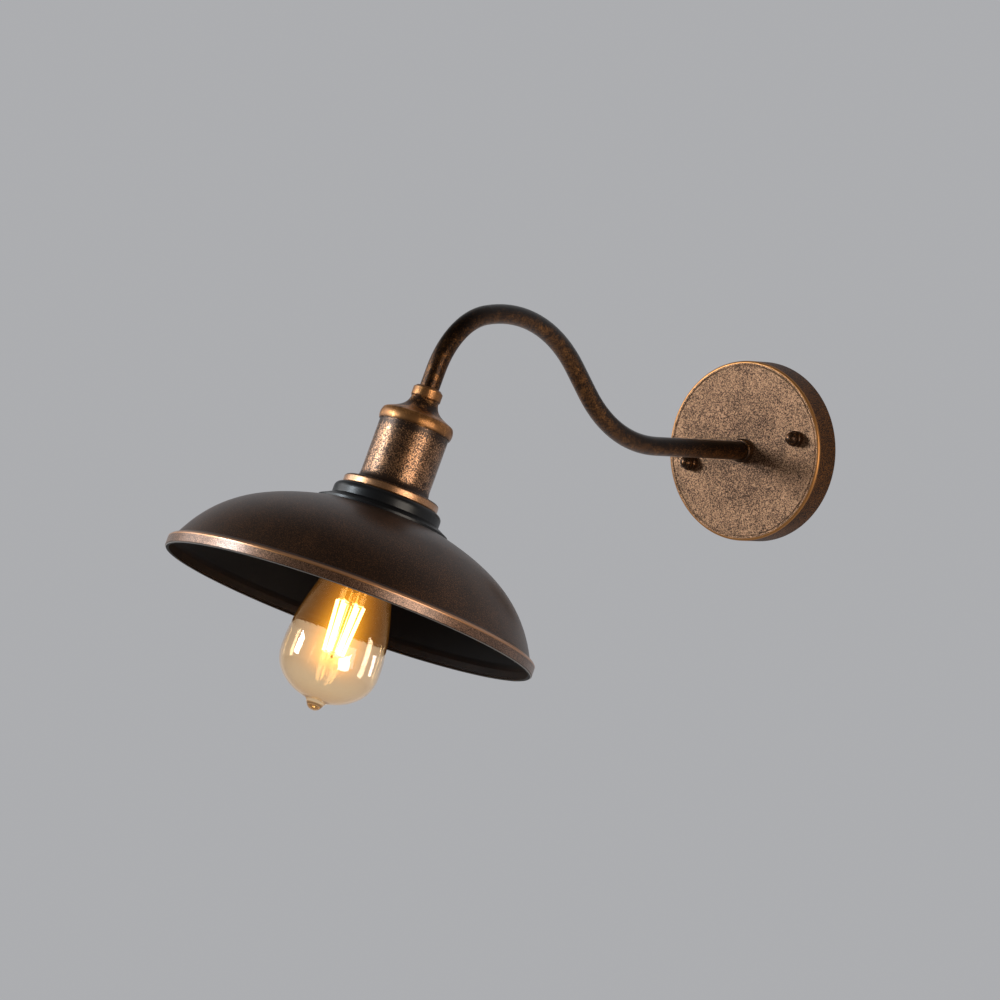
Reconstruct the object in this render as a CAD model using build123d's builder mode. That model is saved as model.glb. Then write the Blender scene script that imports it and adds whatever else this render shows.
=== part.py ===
from build123d import *
from math import cos, pi, radians, sin, tan
import os

# A gooseneck wall sconce: a round canopy on a crossbar, a bent steel tube arm, a socket cup,
# a domed steel shade and a screw-base filament bulb.
#
# Frame, in millimetres: the origin is the centre of the canopy's back, on the wall (y = 0).
# +Z is up, +Y points into the wall, so the lamp stands out towards -Y, and the arm lies in x = 0.
# "out" is the distance from the wall. In the head, "rise" is the height above the plane of the
# shade's rim, measured along the tilted axis of the lamp.

# ---------------------------------------------------------------- clearances
turning_gap = 0.2        # between flat faces that turn on each other
running_gap = 0.06       # radial, between the root nipple and the canopy's hole
loose_gap = 0.1          # radial, between a piece and the hole that it sits in
screw_gap = 0.3          # radial, around a screw that passes through a plate

# ---------------------------------------------------------------- canopy and crossbar
canopy_radius = 60.0
canopy_depth = 20.0
canopy_wall = 1.0
canopy_edge_round = 1.6
canopy_groove_inset = 3.0      # from the canopy's side in to the groove behind its edge bead
canopy_groove_radius = 0.45

stud_reach = 42.7              # from the canopy's centre to each stud
stud_angle = 22.0              # the line of the studs, turned from level
stud_radius = 2.0
stud_head_radius = 3.6
stud_head_height = 2.4
stud_tail = 6.5                # what stands out of the canopy, inside the cap nut
stud_nut_across_flats = 7.0
stud_nut_height = 3.2

cap_nut_radius = 5.3
cap_nut_collar_height = 4.2
cap_nut_neck_radius = 4.2
cap_nut_ball_radius = 4.6
cap_nut_height = 10.0

bar_thickness = 2.0
bar_width = 18.0
bar_end_margin = 7.0           # past the centre of the stud, or of the wall screw
bar_lift = 3.2                 # the stud ends stand off the wall, clear of the stud heads
bar_ramp = 3.0
bar_flat_margin = 5.0          # from the stud back to the top of the ramp
crossbar_width = 16.0
wall_screw_circle = 70.0
wall_screw_hole_radius = 2.6
cable_hole_radius = 8.0

# ---------------------------------------------------------------- terminal block and earth screw
block_start = 12.0             # along the bar, from the canopy's centre
block_length = 18.0
block_width = 17.0
block_height = 11.0
block_pole_offset = 4.25
barrel_radius = 2.5
barrel_bore_radius = 1.5
barrel_inset = 2.0
clamp_screw_radius = 1.4
clamp_screw_inset = 4.5
clamp_screw_head_depth = 1.0   # the screw's top below the block's top
fixing_screw_radius = 1.5
fixing_screw_head_radius = 2.6
fixing_screw_head_height = 2.0
earth_screw_reach = 20.0
earth_screw_radius = 2.0
earth_screw_head_radius = 3.8
earth_screw_head_height = 2.6
earth_washer_radius = 5.0
earth_washer_thickness = 1.0
driver_slot_width = 0.8
driver_slot_depth = 0.9

# ---------------------------------------------------------------- arm
tube_radius = 6.25
tube_wall = 1.15
root_run_length = 102.6        # straight out of the canopy
rise_radius = 138.0
rise_angle = 40.0
climb_length = 25.0
crest_radius = 134.0
crest_fall = 9.0               # degrees below level where the tight hook starts
hook_radius = 52.5
drop_length = 20.6
head_tilt = 16.8               # degrees between the lamp's axis and plumb

root_collar_radius = 8.0
root_collar_length = 5.0
root_collar_round = 1.6
nipple_radius = 5.0
nipple_bore_radius = 4.0
nipple_in_tube = 12.0
nipple_tail = 1.0              # what stands past a lock nut
lock_nut_across_flats = 14.0
lock_nut_height = 3.0
root_washer_radius = 10.0
root_washer_thickness = 1.0
spring_washer_radius = 8.2
spring_washer_thickness = 0.8
spring_washer_slit = 1.2

# ---------------------------------------------------------------- shade
rim_radius = 121.5
rim_band_height = 7.2
rim_below = 1.5                # how far the band reaches below the lip's plane
rim_shoulder = 4.4             # from the foot of the dome out to the band
rim_shoulder_rise = 2.5
rim_lip_inset = 2.1
dome_height = 53.1             # from the foot of the dome up to the brim
dome_foot_slope = 64.6         # degrees below level
dome_top_slope = 14.7
dome_waist = (0.619, 0.638)    # the point that shapes the dome, in shares of its span and height
brim_radius = 42.8
brim_edge = 1.4
brim_slope_height = 3.8
step_radius = 35.3
step_height = 8.2
step_round = 4.0
shade_wall = 0.8

# ---------------------------------------------------------------- socket cup
sleeve_radius = 22.6
sleeve_wall = 1.1
sleeve_length = 52.0
flange_radius = 31.2
flange_height = 5.6
flange_round = 1.8
flange_flare_rise = 15.0
flange_flare_foot = 25.5       # where the flare meets the flange
sleeve_floor = 2.2
cap_overlap = 5.4              # the cap's skirt over the sleeve
cap_seat_gap = 0.2
ring_radius = 24.0
ring_height = 7.4
bell_height = 12.2
bell_neck_radius = 8.9
bell_foot_radius = 21.9
cap_collar_radius = 9.6
cap_collar_height = 7.8
cap_tube_socket = 8.0          # depth of the tube in the cap's collar
cap_web = 5.0
cap_nut_seat_radius = 8.6
cap_bell_wall = 1.8

# ---------------------------------------------------------------- lampholder
holder_skirt_radius = 19.7
holder_skirt_length = 27.0     # below the sleeve's floor
holder_shoulder_radius = 21.2
holder_shoulder_height = 4.0
holder_body_radius = 17.5
holder_body_height = 21.0
holder_bore_radius = 14.5
holder_floor_rise = 1.0        # the bore's floor above the sleeve's floor
holder_groove_pitch = 2.5
holder_groove_depth = 0.7
holder_grooves = 6
ring_nut_radius = 25.5
ring_nut_height = 7.5
ring_nut_grips = 12
ring_nut_grip_radius = 1.6

thread_pitch = 3.629           # seven turns to the inch
shell_radius = 14.3
shell_wave = 0.25
shell_wall = 0.4
shell_turns = 6
shell_lip_radius = 8.0

contact_width = 5.0
contact_thickness = 0.5
contact_drop = 3.9             # how far the leaf's tip hangs below the bore's floor
contact_slope = 45.0
contact_tip_length = 2.8
contact_rivet_reach = 5.5
shell_rivet_reach = 9.8
shell_rivet_side = 3.2
rivet_radius = 1.1
rivet_head_radius = 1.8
rivet_head_height = 0.6
terminal_width = 11.0
terminal_thickness = 1.2
terminal_near = 3.0
terminal_far = 15.0
terminal_screw_reach = 11.5
terminal_screw_side = 2.7
wire_end_reach = 13.0          # where the lamp's wires meet the terminals
wire_end_side = 2.2
terminal_screw_radius = 1.5
terminal_screw_head_radius = 2.7
terminal_screw_head_height = 2.0
terminal_screw_length = 6.0

bracket_width = 12.0
bracket_thickness = 1.2
bracket_rise = 17.2
bracket_half_top = 9.2
bracket_half_span = 16.4
bracket_screw_reach = 12.9
bracket_screw_length = 9.0

# ---------------------------------------------------------------- wires
wire_radius = 0.9
wire_spread = 1.15
wire_end_gap = 0.3
wire_nipple_depth = 12.0        # how far up the end nipple the wires of the head are drawn from

# ---------------------------------------------------------------- bulb
bulb_base_clearance = 0.35     # radial, between the two threads
base_wall = 0.35
base_turns = 5
base_neck_height = 2.2
insulator_height = 2.4
insulator_tip_radius = 6.0
tip_contact_radius = 4.7
tip_contact_height = 1.8
contact_gap = 0.3
bulb_length = 140.2            # from the tip contact to the glass tip
glass_radius = 32.2
glass_wall = 0.9
glass_neck_radius = 11.9
glass_collar_radius = 12.9
glass_belly_rise = 33.4        # the widest place, above the glass tip
glass_bowl_depth = 27.8
glass_tip_radius = 4.6
glass_waist_rise = 65.4        # a point on the long taper, above the glass tip
glass_waist_radius = 27.8
glass_neck_cover = 9.0          # how far the glass reaches up into the base
stem_tube_radius = 3.0
stem_flare_thickness = 1.4
stem_flare_height = 8.0
stem_foot_rise = 78.0          # where the stem's tube ends, above the glass tip
stem_rod_radius = 1.4
stem_rod_end_rise = 34.0
button_radius = 3.0
button_height = 2.6
filament_count = 6
filament_radius = 1.2
filament_length = 33.0
filament_top_rise = 70.5
filament_top_reach = 8.6
filament_foot_reach = 6.2
support_wire_radius = 0.35


def save(piece, name):
    """Label a finished piece and write it as its own file."""
    piece.part.label = name
    export_step(piece.part, f"parts/{name}.step")
    print(f"{name:24s} solids {len(piece.part.solids()):2d}  volume {piece.part.volume:10.1f}")


# ================================================================ frames
# On the wall: local x is +X, local y is +Z, and the plane's normal is "out".
wall_plane = Plane(origin=(0, 0, 0), x_dir=(1, 0, 0), z_dir=(0, -1, 0))
# The bar's frame: local x runs along the line of the studs.
bar_direction = (cos(radians(stud_angle)), 0, sin(radians(stud_angle)))
bar_plane = Plane(origin=(0, 0, 0), x_dir=bar_direction, z_dir=(0, -1, 0))
# A section through the canopy's axis: local x is the radius and local y is "out".
wall_section = Plane(origin=(0, 0, 0), x_dir=(1, 0, 0), z_dir=(0, 0, -1))
wall_axis = Axis((0, 0, 0), (0, -1, 0))
# A section along the bar: local x runs along it and local y is "out".
bar_section = Plane(origin=(0, 0, 0), x_dir=bar_plane.x_dir, z_dir=bar_plane.x_dir.cross(bar_plane.z_dir))
# The arm's own plane: local x is "out" and local y is up.
arm_plane = Plane(origin=(0, 0, 0), x_dir=(0, -1, 0), z_dir=(-1, 0, 0))

canopy_inside = canopy_depth - canopy_wall
washer_out = canopy_inside - turning_gap - root_washer_thickness
spring_washer_out = washer_out - spring_washer_thickness
root_nut_out = spring_washer_out - lock_nut_height
nipple_end_out = root_nut_out - nipple_tail
arm_start_out = canopy_depth + turning_gap


def arm_chain(start_out, side):
    """Lines and arcs of the arm's route, moved sideways in its plane by side (+ is the upper side)."""
    run = Line((start_out, side), (arm_start_out + root_run_length, side))
    rise = JernArc(run @ 1, run % 1, rise_radius - side, rise_angle)
    climb = Line(rise @ 1, rise @ 1 + climb_length * (rise % 1))
    crest = JernArc(climb @ 1, climb % 1, crest_radius + side, -(rise_angle + crest_fall))
    hook = JernArc(crest @ 1, crest % 1, hook_radius + side, -(90 - head_tilt - crest_fall))
    return hook


with BuildLine(arm_plane) as arm_route:
    hook_arc = arm_chain(arm_start_out, 0)
    drop_line = Line(hook_arc @ 1, hook_arc @ 1 + drop_length * (hook_arc % 1))

head_down = drop_line % 1
head_up = -head_down

# ---------------------------------------------------------------- heights in the head, above the rim's plane
dome_foot_rise = rim_band_height - rim_below + rim_shoulder_rise
brim_rise = dome_foot_rise + dome_height
step_foot_rise = brim_rise + brim_edge + brim_slope_height
shade_top_rise = step_foot_rise + step_height
sleeve_floor_rise = shade_top_rise + sleeve_floor
sleeve_top_rise = shade_top_rise + sleeve_length
ring_foot_rise = sleeve_top_rise - cap_overlap
ring_top_rise = ring_foot_rise + ring_height
bell_top_rise = ring_top_rise + bell_height
cap_top_rise = bell_top_rise + cap_collar_height
tube_end_rise = cap_top_rise - cap_tube_socket
cap_nut_seat_rise = tube_end_rise - cap_web
holder_floor_at = sleeve_floor_rise + holder_floor_rise
holder_top_rise = sleeve_floor_rise + holder_body_height
holder_mouth_rise = shade_top_rise - holder_skirt_length + sleeve_floor
bracket_top_rise = holder_top_rise + bracket_rise
end_nipple_foot_rise = bracket_top_rise - bracket_thickness - lock_nut_height - nipple_tail
bulb_top_rise = holder_floor_at - contact_drop - contact_gap
bulb_tip_rise = bulb_top_rise - bulb_length

head_origin = drop_line @ 1 + tube_end_rise * head_down
# Across the lamp's axis: local x is +X, local y points to the wall side and the normal is up the axis.
head_plane = Plane(origin=head_origin, x_dir=(1, 0, 0), z_dir=head_up)
# A section through the lamp's axis: local x is the radius and local y is "rise".
head_section = Plane(origin=head_origin, x_dir=(1, 0, 0), z_dir=Vector(1, 0, 0).cross(head_up))
# The section in the arm's plane: local x points to the wall side and local y is "rise".
head_side = Plane(origin=head_origin, x_dir=head_plane.y_dir, z_dir=head_plane.y_dir.cross(head_up))
head_axis = Axis(head_origin, head_up)


# ================================================================ canopy and what it hangs on
with BuildPart() as canopy:
    with BuildSketch(wall_section):
        with BuildLine():
            Polyline(
                (0, canopy_depth),
                (canopy_radius, canopy_depth),
                (canopy_radius, 0),
                (canopy_radius - canopy_wall, 0),
                (canopy_radius - canopy_wall, canopy_inside),
                (0, canopy_inside),
                close=True,
            )
        make_face()
        with Locations((canopy_radius - canopy_groove_inset, canopy_depth)):
            Circle(canopy_groove_radius, mode=Mode.SUBTRACT)
    revolve(axis=wall_axis)
    front_edges = canopy.edges().group_by(Axis.Y)[0]
    fillet(front_edges.sort_by(SortBy.RADIUS)[-1], canopy_edge_round)
    with BuildSketch(bar_plane):
        Circle(nipple_radius + running_gap)
        with Locations((-stud_reach, 0), (stud_reach, 0)):
            Circle(stud_radius + screw_gap)
    extrude(amount=canopy_depth, mode=Mode.SUBTRACT)
save(canopy, "canopy")

bar_half = stud_reach + bar_end_margin
ramp_top = stud_reach - bar_flat_margin
ramp_foot = ramp_top - bar_ramp
wall_screw_reach = wall_screw_circle / 2

with BuildPart() as mounting_strap:
    with BuildSketch(bar_section):
        with BuildLine():
            Polyline(
                (-bar_half, bar_lift),
                (-ramp_top, bar_lift),
                (-ramp_foot, 0),
                (ramp_foot, 0),
                (ramp_top, bar_lift),
                (bar_half, bar_lift),
                (bar_half, bar_lift + bar_thickness),
                (ramp_top, bar_lift + bar_thickness),
                (ramp_foot, bar_thickness),
                (-ramp_foot, bar_thickness),
                (-ramp_top, bar_lift + bar_thickness),
                (-bar_half, bar_lift + bar_thickness),
                close=True,
            )
        make_face()
    extrude(amount=bar_width / 2, both=True)
    with BuildSketch(bar_plane):
        SlotCenterToCenter(2 * wall_screw_reach, crossbar_width, rotation=90)
    extrude(amount=bar_thickness)
    with BuildSketch(bar_plane):
        Circle(cable_hole_radius)
        with Locations((0, -wall_screw_reach), (0, wall_screw_reach)):
            Circle(wall_screw_hole_radius)
        with Locations((-stud_reach, 0), (stud_reach, 0)):
            Circle(stud_radius + loose_gap)
        with Locations((-earth_screw_reach, 0)):
            Circle(earth_screw_radius + loose_gap)
        with Locations((block_start + block_length / 2, 0)):
            Circle(fixing_screw_radius + loose_gap)
    extrude(amount=bar_lift + bar_thickness, mode=Mode.SUBTRACT)
save(mounting_strap, "mounting_strap")

stud_end_out = canopy_depth + stud_tail
with BuildPart() as strap_studs:
    with BuildSketch(bar_plane.offset(bar_lift - stud_head_height)):
        with Locations((-stud_reach, 0), (stud_reach, 0)):
            Circle(stud_head_radius)
    extrude(amount=stud_head_height)
    with BuildSketch(bar_plane.offset(bar_lift)):
        with Locations((-stud_reach, 0), (stud_reach, 0)):
            Circle(stud_radius)
    extrude(amount=stud_end_out - bar_lift)
save(strap_studs, "strap_studs")

with BuildPart() as stud_nuts:
    with BuildSketch(bar_plane.offset(bar_lift + bar_thickness)):
        with Locations((-stud_reach, 0), (stud_reach, 0)):
            RegularPolygon(stud_nut_across_flats / 2, 6, major_radius=False)
            Circle(stud_radius + loose_gap, mode=Mode.SUBTRACT)
    extrude(amount=stud_nut_height)
save(stud_nuts, "stud_nuts")

cap_nut_ball_out = cap_nut_height - cap_nut_ball_radius
cap_nut_bore = stud_tail + loose_gap
with BuildPart() as cap_nuts:
    for side in (-1, 1):
        nut_place = bar_plane.from_local_coords((side * stud_reach, 0, canopy_depth))
        nut_section = Plane(origin=nut_place, x_dir=(1, 0, 0), z_dir=(0, 0, -1))
        with BuildSketch(nut_section):
            with BuildLine():
                Polyline(
                    (0, 0),
                    (cap_nut_radius, 0),
                    (cap_nut_radius, cap_nut_collar_height - 0.6),
                    (cap_nut_radius - 0.6, cap_nut_collar_height),
                    (cap_nut_neck_radius, cap_nut_collar_height),
                    (cap_nut_neck_radius, cap_nut_ball_out),
                    (0, cap_nut_ball_out),
                    close=True,
                )
            make_face()
            with Locations((0, cap_nut_ball_out)):
                Circle(cap_nut_ball_radius)
            with Locations((-canopy_radius / 2, 0)):
                Rectangle(canopy_radius, canopy_radius, mode=Mode.SUBTRACT)
            with Locations((0, cap_nut_bore / 2)):
                Rectangle(2 * (stud_radius + loose_gap), cap_nut_bore, mode=Mode.SUBTRACT)
        revolve(axis=Axis(nut_place, (0, -1, 0)))
save(cap_nuts, "cap_nuts")

# ---------------------------------------------------------------- earth screw on the bar
with BuildPart() as earth_washer:
    with BuildSketch(bar_plane.offset(bar_thickness)):
        with Locations((-earth_screw_reach, 0)):
            Circle(earth_washer_radius)
            Circle(earth_screw_radius + loose_gap, mode=Mode.SUBTRACT)
    extrude(amount=earth_washer_thickness)
save(earth_washer, "earth_washer")

earth_head_out = bar_thickness + earth_washer_thickness
with BuildPart() as earth_screw:
    with BuildSketch(bar_plane):
        with Locations((-earth_screw_reach, 0)):
            Circle(earth_screw_radius)
    extrude(amount=earth_head_out)
    with BuildSketch(bar_plane.offset(earth_head_out)):
        with Locations((-earth_screw_reach, 0)):
            Circle(earth_screw_head_radius)
    extrude(amount=earth_screw_head_height)
    with BuildSketch(bar_plane.offset(earth_head_out + earth_screw_head_height)):
        with Locations((-earth_screw_reach, 0)):
            Rectangle(2 * earth_screw_head_radius + 1, driver_slot_width)
    extrude(amount=-driver_slot_depth, mode=Mode.SUBTRACT)
save(earth_screw, "earth_screw")

# ---------------------------------------------------------------- terminal block
block_middle = block_start + block_length / 2
block_top_out = bar_thickness + block_height
pole_out = bar_thickness + block_height / 2
clamp_places = [
    (block_start + clamp_screw_inset + end * (block_length - 2 * clamp_screw_inset), side * block_pole_offset)
    for side in (-1, 1)
    for end in (0, 1)
]
pole_places = [(-block_pole_offset, pole_out), (block_pole_offset, pole_out)]
# Across the bar, at the block's near end: local x is the bar's own side and local y is "out".
pole_plane = Plane(
    origin=bar_plane.from_local_coords((block_start, 0, 0)),
    x_dir=bar_plane.y_dir,
    z_dir=bar_plane.x_dir,
)

with BuildPart() as terminal_block:
    with BuildSketch(bar_plane.offset(bar_thickness)):
        with Locations((block_middle, 0)):
            RectangleRounded(block_length, block_width, 1.5)
    extrude(amount=block_height)
    with BuildSketch(pole_plane):
        with Locations(*pole_places):
            Circle(barrel_radius + loose_gap)
    extrude(amount=block_length, mode=Mode.SUBTRACT)
    with BuildSketch(bar_plane.offset(pole_out)):
        with Locations(*clamp_places):
            Circle(clamp_screw_radius + screw_gap)
    extrude(amount=block_height, mode=Mode.SUBTRACT)
    with BuildSketch(bar_plane):
        with Locations((block_middle, 0)):
            Circle(fixing_screw_radius + loose_gap)
    extrude(amount=block_top_out, mode=Mode.SUBTRACT)
    with BuildSketch(bar_plane.offset(block_top_out - fixing_screw_head_height)):
        with Locations((block_middle, 0)):
            Circle(fixing_screw_head_radius + loose_gap)
    extrude(amount=fixing_screw_head_height, mode=Mode.SUBTRACT)
save(terminal_block, "terminal_block")

with BuildPart() as terminal_barrels:
    with BuildSketch(pole_plane.offset(barrel_inset)):
        with Locations(*pole_places):
            Circle(barrel_radius)
            Circle(barrel_bore_radius, mode=Mode.SUBTRACT)
    extrude(amount=block_length - 2 * barrel_inset)
    with BuildSketch(bar_plane.offset(pole_out)):
        with Locations(*clamp_places):
            Circle(clamp_screw_radius + loose_gap)
    extrude(amount=block_height, mode=Mode.SUBTRACT)
save(terminal_barrels, "terminal_barrels")

with BuildPart() as terminal_block_screws:
    with BuildSketch(bar_plane.offset(pole_out + barrel_bore_radius)):
        with Locations(*clamp_places):
            Circle(clamp_screw_radius)
    extrude(amount=block_top_out - clamp_screw_head_depth - pole_out - barrel_bore_radius)
    with BuildSketch(bar_plane.offset(block_top_out - clamp_screw_head_depth)):
        with Locations(*clamp_places):
            Rectangle(2 * clamp_screw_radius + 1, driver_slot_width / 2)
    extrude(amount=-driver_slot_depth, mode=Mode.SUBTRACT)
save(terminal_block_screws, "terminal_block_screws")

with BuildPart() as block_fixing_screw:
    with BuildSketch(bar_plane):
        with Locations((block_middle, 0)):
            Circle(fixing_screw_radius)
    extrude(amount=block_top_out - fixing_screw_head_height)
    with BuildSketch(bar_plane.offset(block_top_out - fixing_screw_head_height)):
        with Locations((block_middle, 0)):
            Circle(fixing_screw_head_radius)
    extrude(amount=fixing_screw_head_height - 0.3)
    with BuildSketch(bar_plane.offset(block_top_out - 0.3)):
        with Locations((block_middle, 0)):
            Rectangle(2 * fixing_screw_head_radius + 1, driver_slot_width)
    extrude(amount=-driver_slot_depth, mode=Mode.SUBTRACT)
save(block_fixing_screw, "block_fixing_screw")


# ================================================================ wires in the canopy
def corner_radii(points):
    """The widest arc at each corner of a wire: it takes up to 0.94 of an end run or 0.47 of a middle run."""
    runs = [Vector(after) - Vector(before) for before, after in zip(points, points[1:])]
    room = [0.47 * run.length for run in runs]
    room[0] *= 2
    room[-1] *= 2
    radii = []
    for corner in range(len(runs) - 1):
        half_turn = radians(runs[corner].get_angle(runs[corner + 1])) / 2
        radii.append(min(room[corner], room[corner + 1]) / tan(half_turn))
    print("wire radii", [round(radius, 1) for radius in radii])
    return radii


live_side = -1
neutral_side = 1


def pigtail_route(side):
    """From the nipple's mouth down towards the wall, then along the bar into the terminal block."""
    return [
        bar_plane.from_local_coords(point)
        for point in (
            (0, side * wire_spread, nipple_end_out - 2 * wire_end_gap),
            (0.5, side * (wire_spread + 0.2), pole_out - 1.0),
            (block_start - 2.0, side * block_pole_offset, pole_out),
            (block_start + clamp_screw_inset, side * block_pole_offset, pole_out),
        )
    ]


live_tail_points = pigtail_route(live_side)
with BuildPart() as live_pigtail:
    with BuildLine() as live_tail_path:
        FilletPolyline(*live_tail_points, radius=corner_radii(live_tail_points))
    with BuildSketch(Plane(origin=live_tail_path.line @ 0, z_dir=live_tail_path.line % 0)):
        Circle(wire_radius)
    sweep(path=live_tail_path.wires()[0])
save(live_pigtail, "live_pigtail")

neutral_tail_points = pigtail_route(neutral_side)
with BuildPart() as neutral_pigtail:
    with BuildLine() as neutral_tail_path:
        FilletPolyline(*neutral_tail_points, radius=corner_radii(neutral_tail_points))
    with BuildSketch(Plane(origin=neutral_tail_path.line @ 0, z_dir=neutral_tail_path.line % 0)):
        Circle(wire_radius)
    sweep(path=neutral_tail_path.wires()[0])
save(neutral_pigtail, "neutral_pigtail")


# ================================================================ the arm and its root
with BuildPart() as arm_tube:
    with BuildSketch(Plane(origin=arm_route.line @ 0, x_dir=(1, 0, 0), z_dir=arm_route.line % 0)):
        Circle(tube_radius)
        Circle(tube_radius - tube_wall, mode=Mode.SUBTRACT)
    sweep(path=arm_route.wires()[0])
save(arm_tube, "arm_tube")

with BuildPart() as root_collar:
    with BuildSketch(wall_plane.offset(arm_start_out)):
        Circle(root_collar_radius)
        Circle(tube_radius + loose_gap, mode=Mode.SUBTRACT)
    extrude(amount=root_collar_length)
    outer_face_edges = root_collar.edges().group_by(Axis.Y)[0]
    fillet(outer_face_edges.sort_by(SortBy.RADIUS)[-1], root_collar_round)
save(root_collar, "root_collar")

with BuildPart() as root_nipple:
    with BuildSketch(wall_plane.offset(nipple_end_out)):
        Circle(nipple_radius)
        Circle(nipple_bore_radius, mode=Mode.SUBTRACT)
    extrude(amount=arm_start_out + nipple_in_tube - nipple_end_out)
save(root_nipple, "root_nipple")

with BuildPart() as root_washer:
    with BuildSketch(wall_plane.offset(washer_out)):
        Circle(root_washer_radius)
        Circle(nipple_radius + loose_gap, mode=Mode.SUBTRACT)
    extrude(amount=root_washer_thickness)
save(root_washer, "root_washer")

with BuildPart() as root_spring_washer:
    with BuildSketch(wall_plane.offset(spring_washer_out)):
        Circle(spring_washer_radius)
        Circle(nipple_radius + loose_gap, mode=Mode.SUBTRACT)
        with Locations((0, spring_washer_radius)):
            Rectangle(spring_washer_slit, 2 * spring_washer_radius, mode=Mode.SUBTRACT)
    extrude(amount=spring_washer_thickness)
save(root_spring_washer, "root_spring_washer")

with BuildPart() as root_lock_nut:
    with BuildSketch(wall_plane.offset(root_nut_out)):
        RegularPolygon(lock_nut_across_flats / 2, 6, major_radius=False)
        Circle(nipple_radius + loose_gap, mode=Mode.SUBTRACT)
    extrude(amount=lock_nut_height)
save(root_lock_nut, "root_lock_nut")

# ================================================================ the socket cup
with BuildPart() as end_nipple:
    with BuildSketch(head_plane.offset(end_nipple_foot_rise)):
        Circle(nipple_radius)
        Circle(nipple_bore_radius, mode=Mode.SUBTRACT)
    extrude(amount=tube_end_rise + nipple_in_tube - end_nipple_foot_rise)
save(end_nipple, "end_nipple")

with BuildPart() as cap_lock_nut:
    with BuildSketch(head_plane.offset(cap_nut_seat_rise - lock_nut_height)):
        RegularPolygon(lock_nut_across_flats / 2, 6, major_radius=False)
        Circle(nipple_radius + loose_gap, mode=Mode.SUBTRACT)
    extrude(amount=lock_nut_height)
save(cap_lock_nut, "cap_lock_nut")

cap_seat_rise = sleeve_top_rise + cap_seat_gap
with BuildPart() as socket_cap:
    with BuildSketch(head_section):
        bell_foot = (bell_foot_radius, ring_top_rise + 0.7)
        bell_inner_foot = (bell_foot_radius - cap_bell_wall, cap_seat_rise + 0.6)
        bell_inner_neck = (cap_nut_seat_radius, cap_nut_seat_rise - 1.0)
        with BuildLine():
            Polyline(
                (bell_neck_radius, bell_top_rise),
                (cap_collar_radius, bell_top_rise + 1.0),
                (cap_collar_radius, cap_top_rise - 1.6),
                (cap_collar_radius - 1.6, cap_top_rise),
                (tube_radius + loose_gap, cap_top_rise),
                (tube_radius + loose_gap, tube_end_rise),
                (nipple_radius + loose_gap, tube_end_rise),
                (nipple_radius + loose_gap, cap_nut_seat_rise),
                (cap_nut_seat_radius, cap_nut_seat_rise),
                bell_inner_neck,
            )
            Spline(bell_inner_neck, bell_inner_foot, tangents=[(0.5, -1), (1, -0.45)])
            Polyline(
                bell_inner_foot,
                (bell_foot_radius - cap_bell_wall, cap_seat_rise),
                (sleeve_radius + loose_gap, cap_seat_rise),
                (sleeve_radius + loose_gap, ring_foot_rise),
                (ring_radius - 0.6, ring_foot_rise),
            )
            ThreePointArc(
                (ring_radius - 0.6, ring_foot_rise),
                (ring_radius, (ring_foot_rise + ring_top_rise) / 2),
                (ring_radius - 1.1, ring_top_rise),
            )
            Line((ring_radius - 1.1, ring_top_rise), bell_foot)
            Spline(bell_foot, (bell_neck_radius, bell_top_rise), tangents=[(-1, 0.45), (-0.15, 1)])
        make_face()
    revolve(axis=head_axis)
save(socket_cap, "socket_cap")

with BuildPart() as socket_sleeve:
    with BuildSketch(head_section):
        flange_top_rise = shade_top_rise + flange_height
        with BuildLine():
            Polyline(
                (flange_flare_foot, flange_top_rise),
                (flange_radius - flange_round, flange_top_rise),
            )
            ThreePointArc(
                (flange_radius - flange_round, flange_top_rise),
                (flange_radius - flange_round * (1 - cos(pi / 4)), flange_top_rise - flange_round * (1 - sin(pi / 4))),
                (flange_radius, flange_top_rise - flange_round),
            )
            Polyline(
                (flange_radius, flange_top_rise - flange_round),
                (flange_radius, shade_top_rise + 0.6),
                (flange_radius - 0.6, shade_top_rise),
                (holder_skirt_radius + 0.4, shade_top_rise),
                (holder_skirt_radius + 0.4, sleeve_floor_rise),
                (sleeve_radius - sleeve_wall, sleeve_floor_rise),
                (sleeve_radius - sleeve_wall, sleeve_top_rise),
                (sleeve_radius, sleeve_top_rise),
                (sleeve_radius, shade_top_rise + flange_flare_rise),
            )
            Spline(
                (sleeve_radius, shade_top_rise + flange_flare_rise),
                (flange_flare_foot, flange_top_rise),
                tangents=[(0, -1), (1, -0.35)],
            )
        make_face()
    revolve(axis=head_axis)
save(socket_sleeve, "socket_sleeve")

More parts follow.
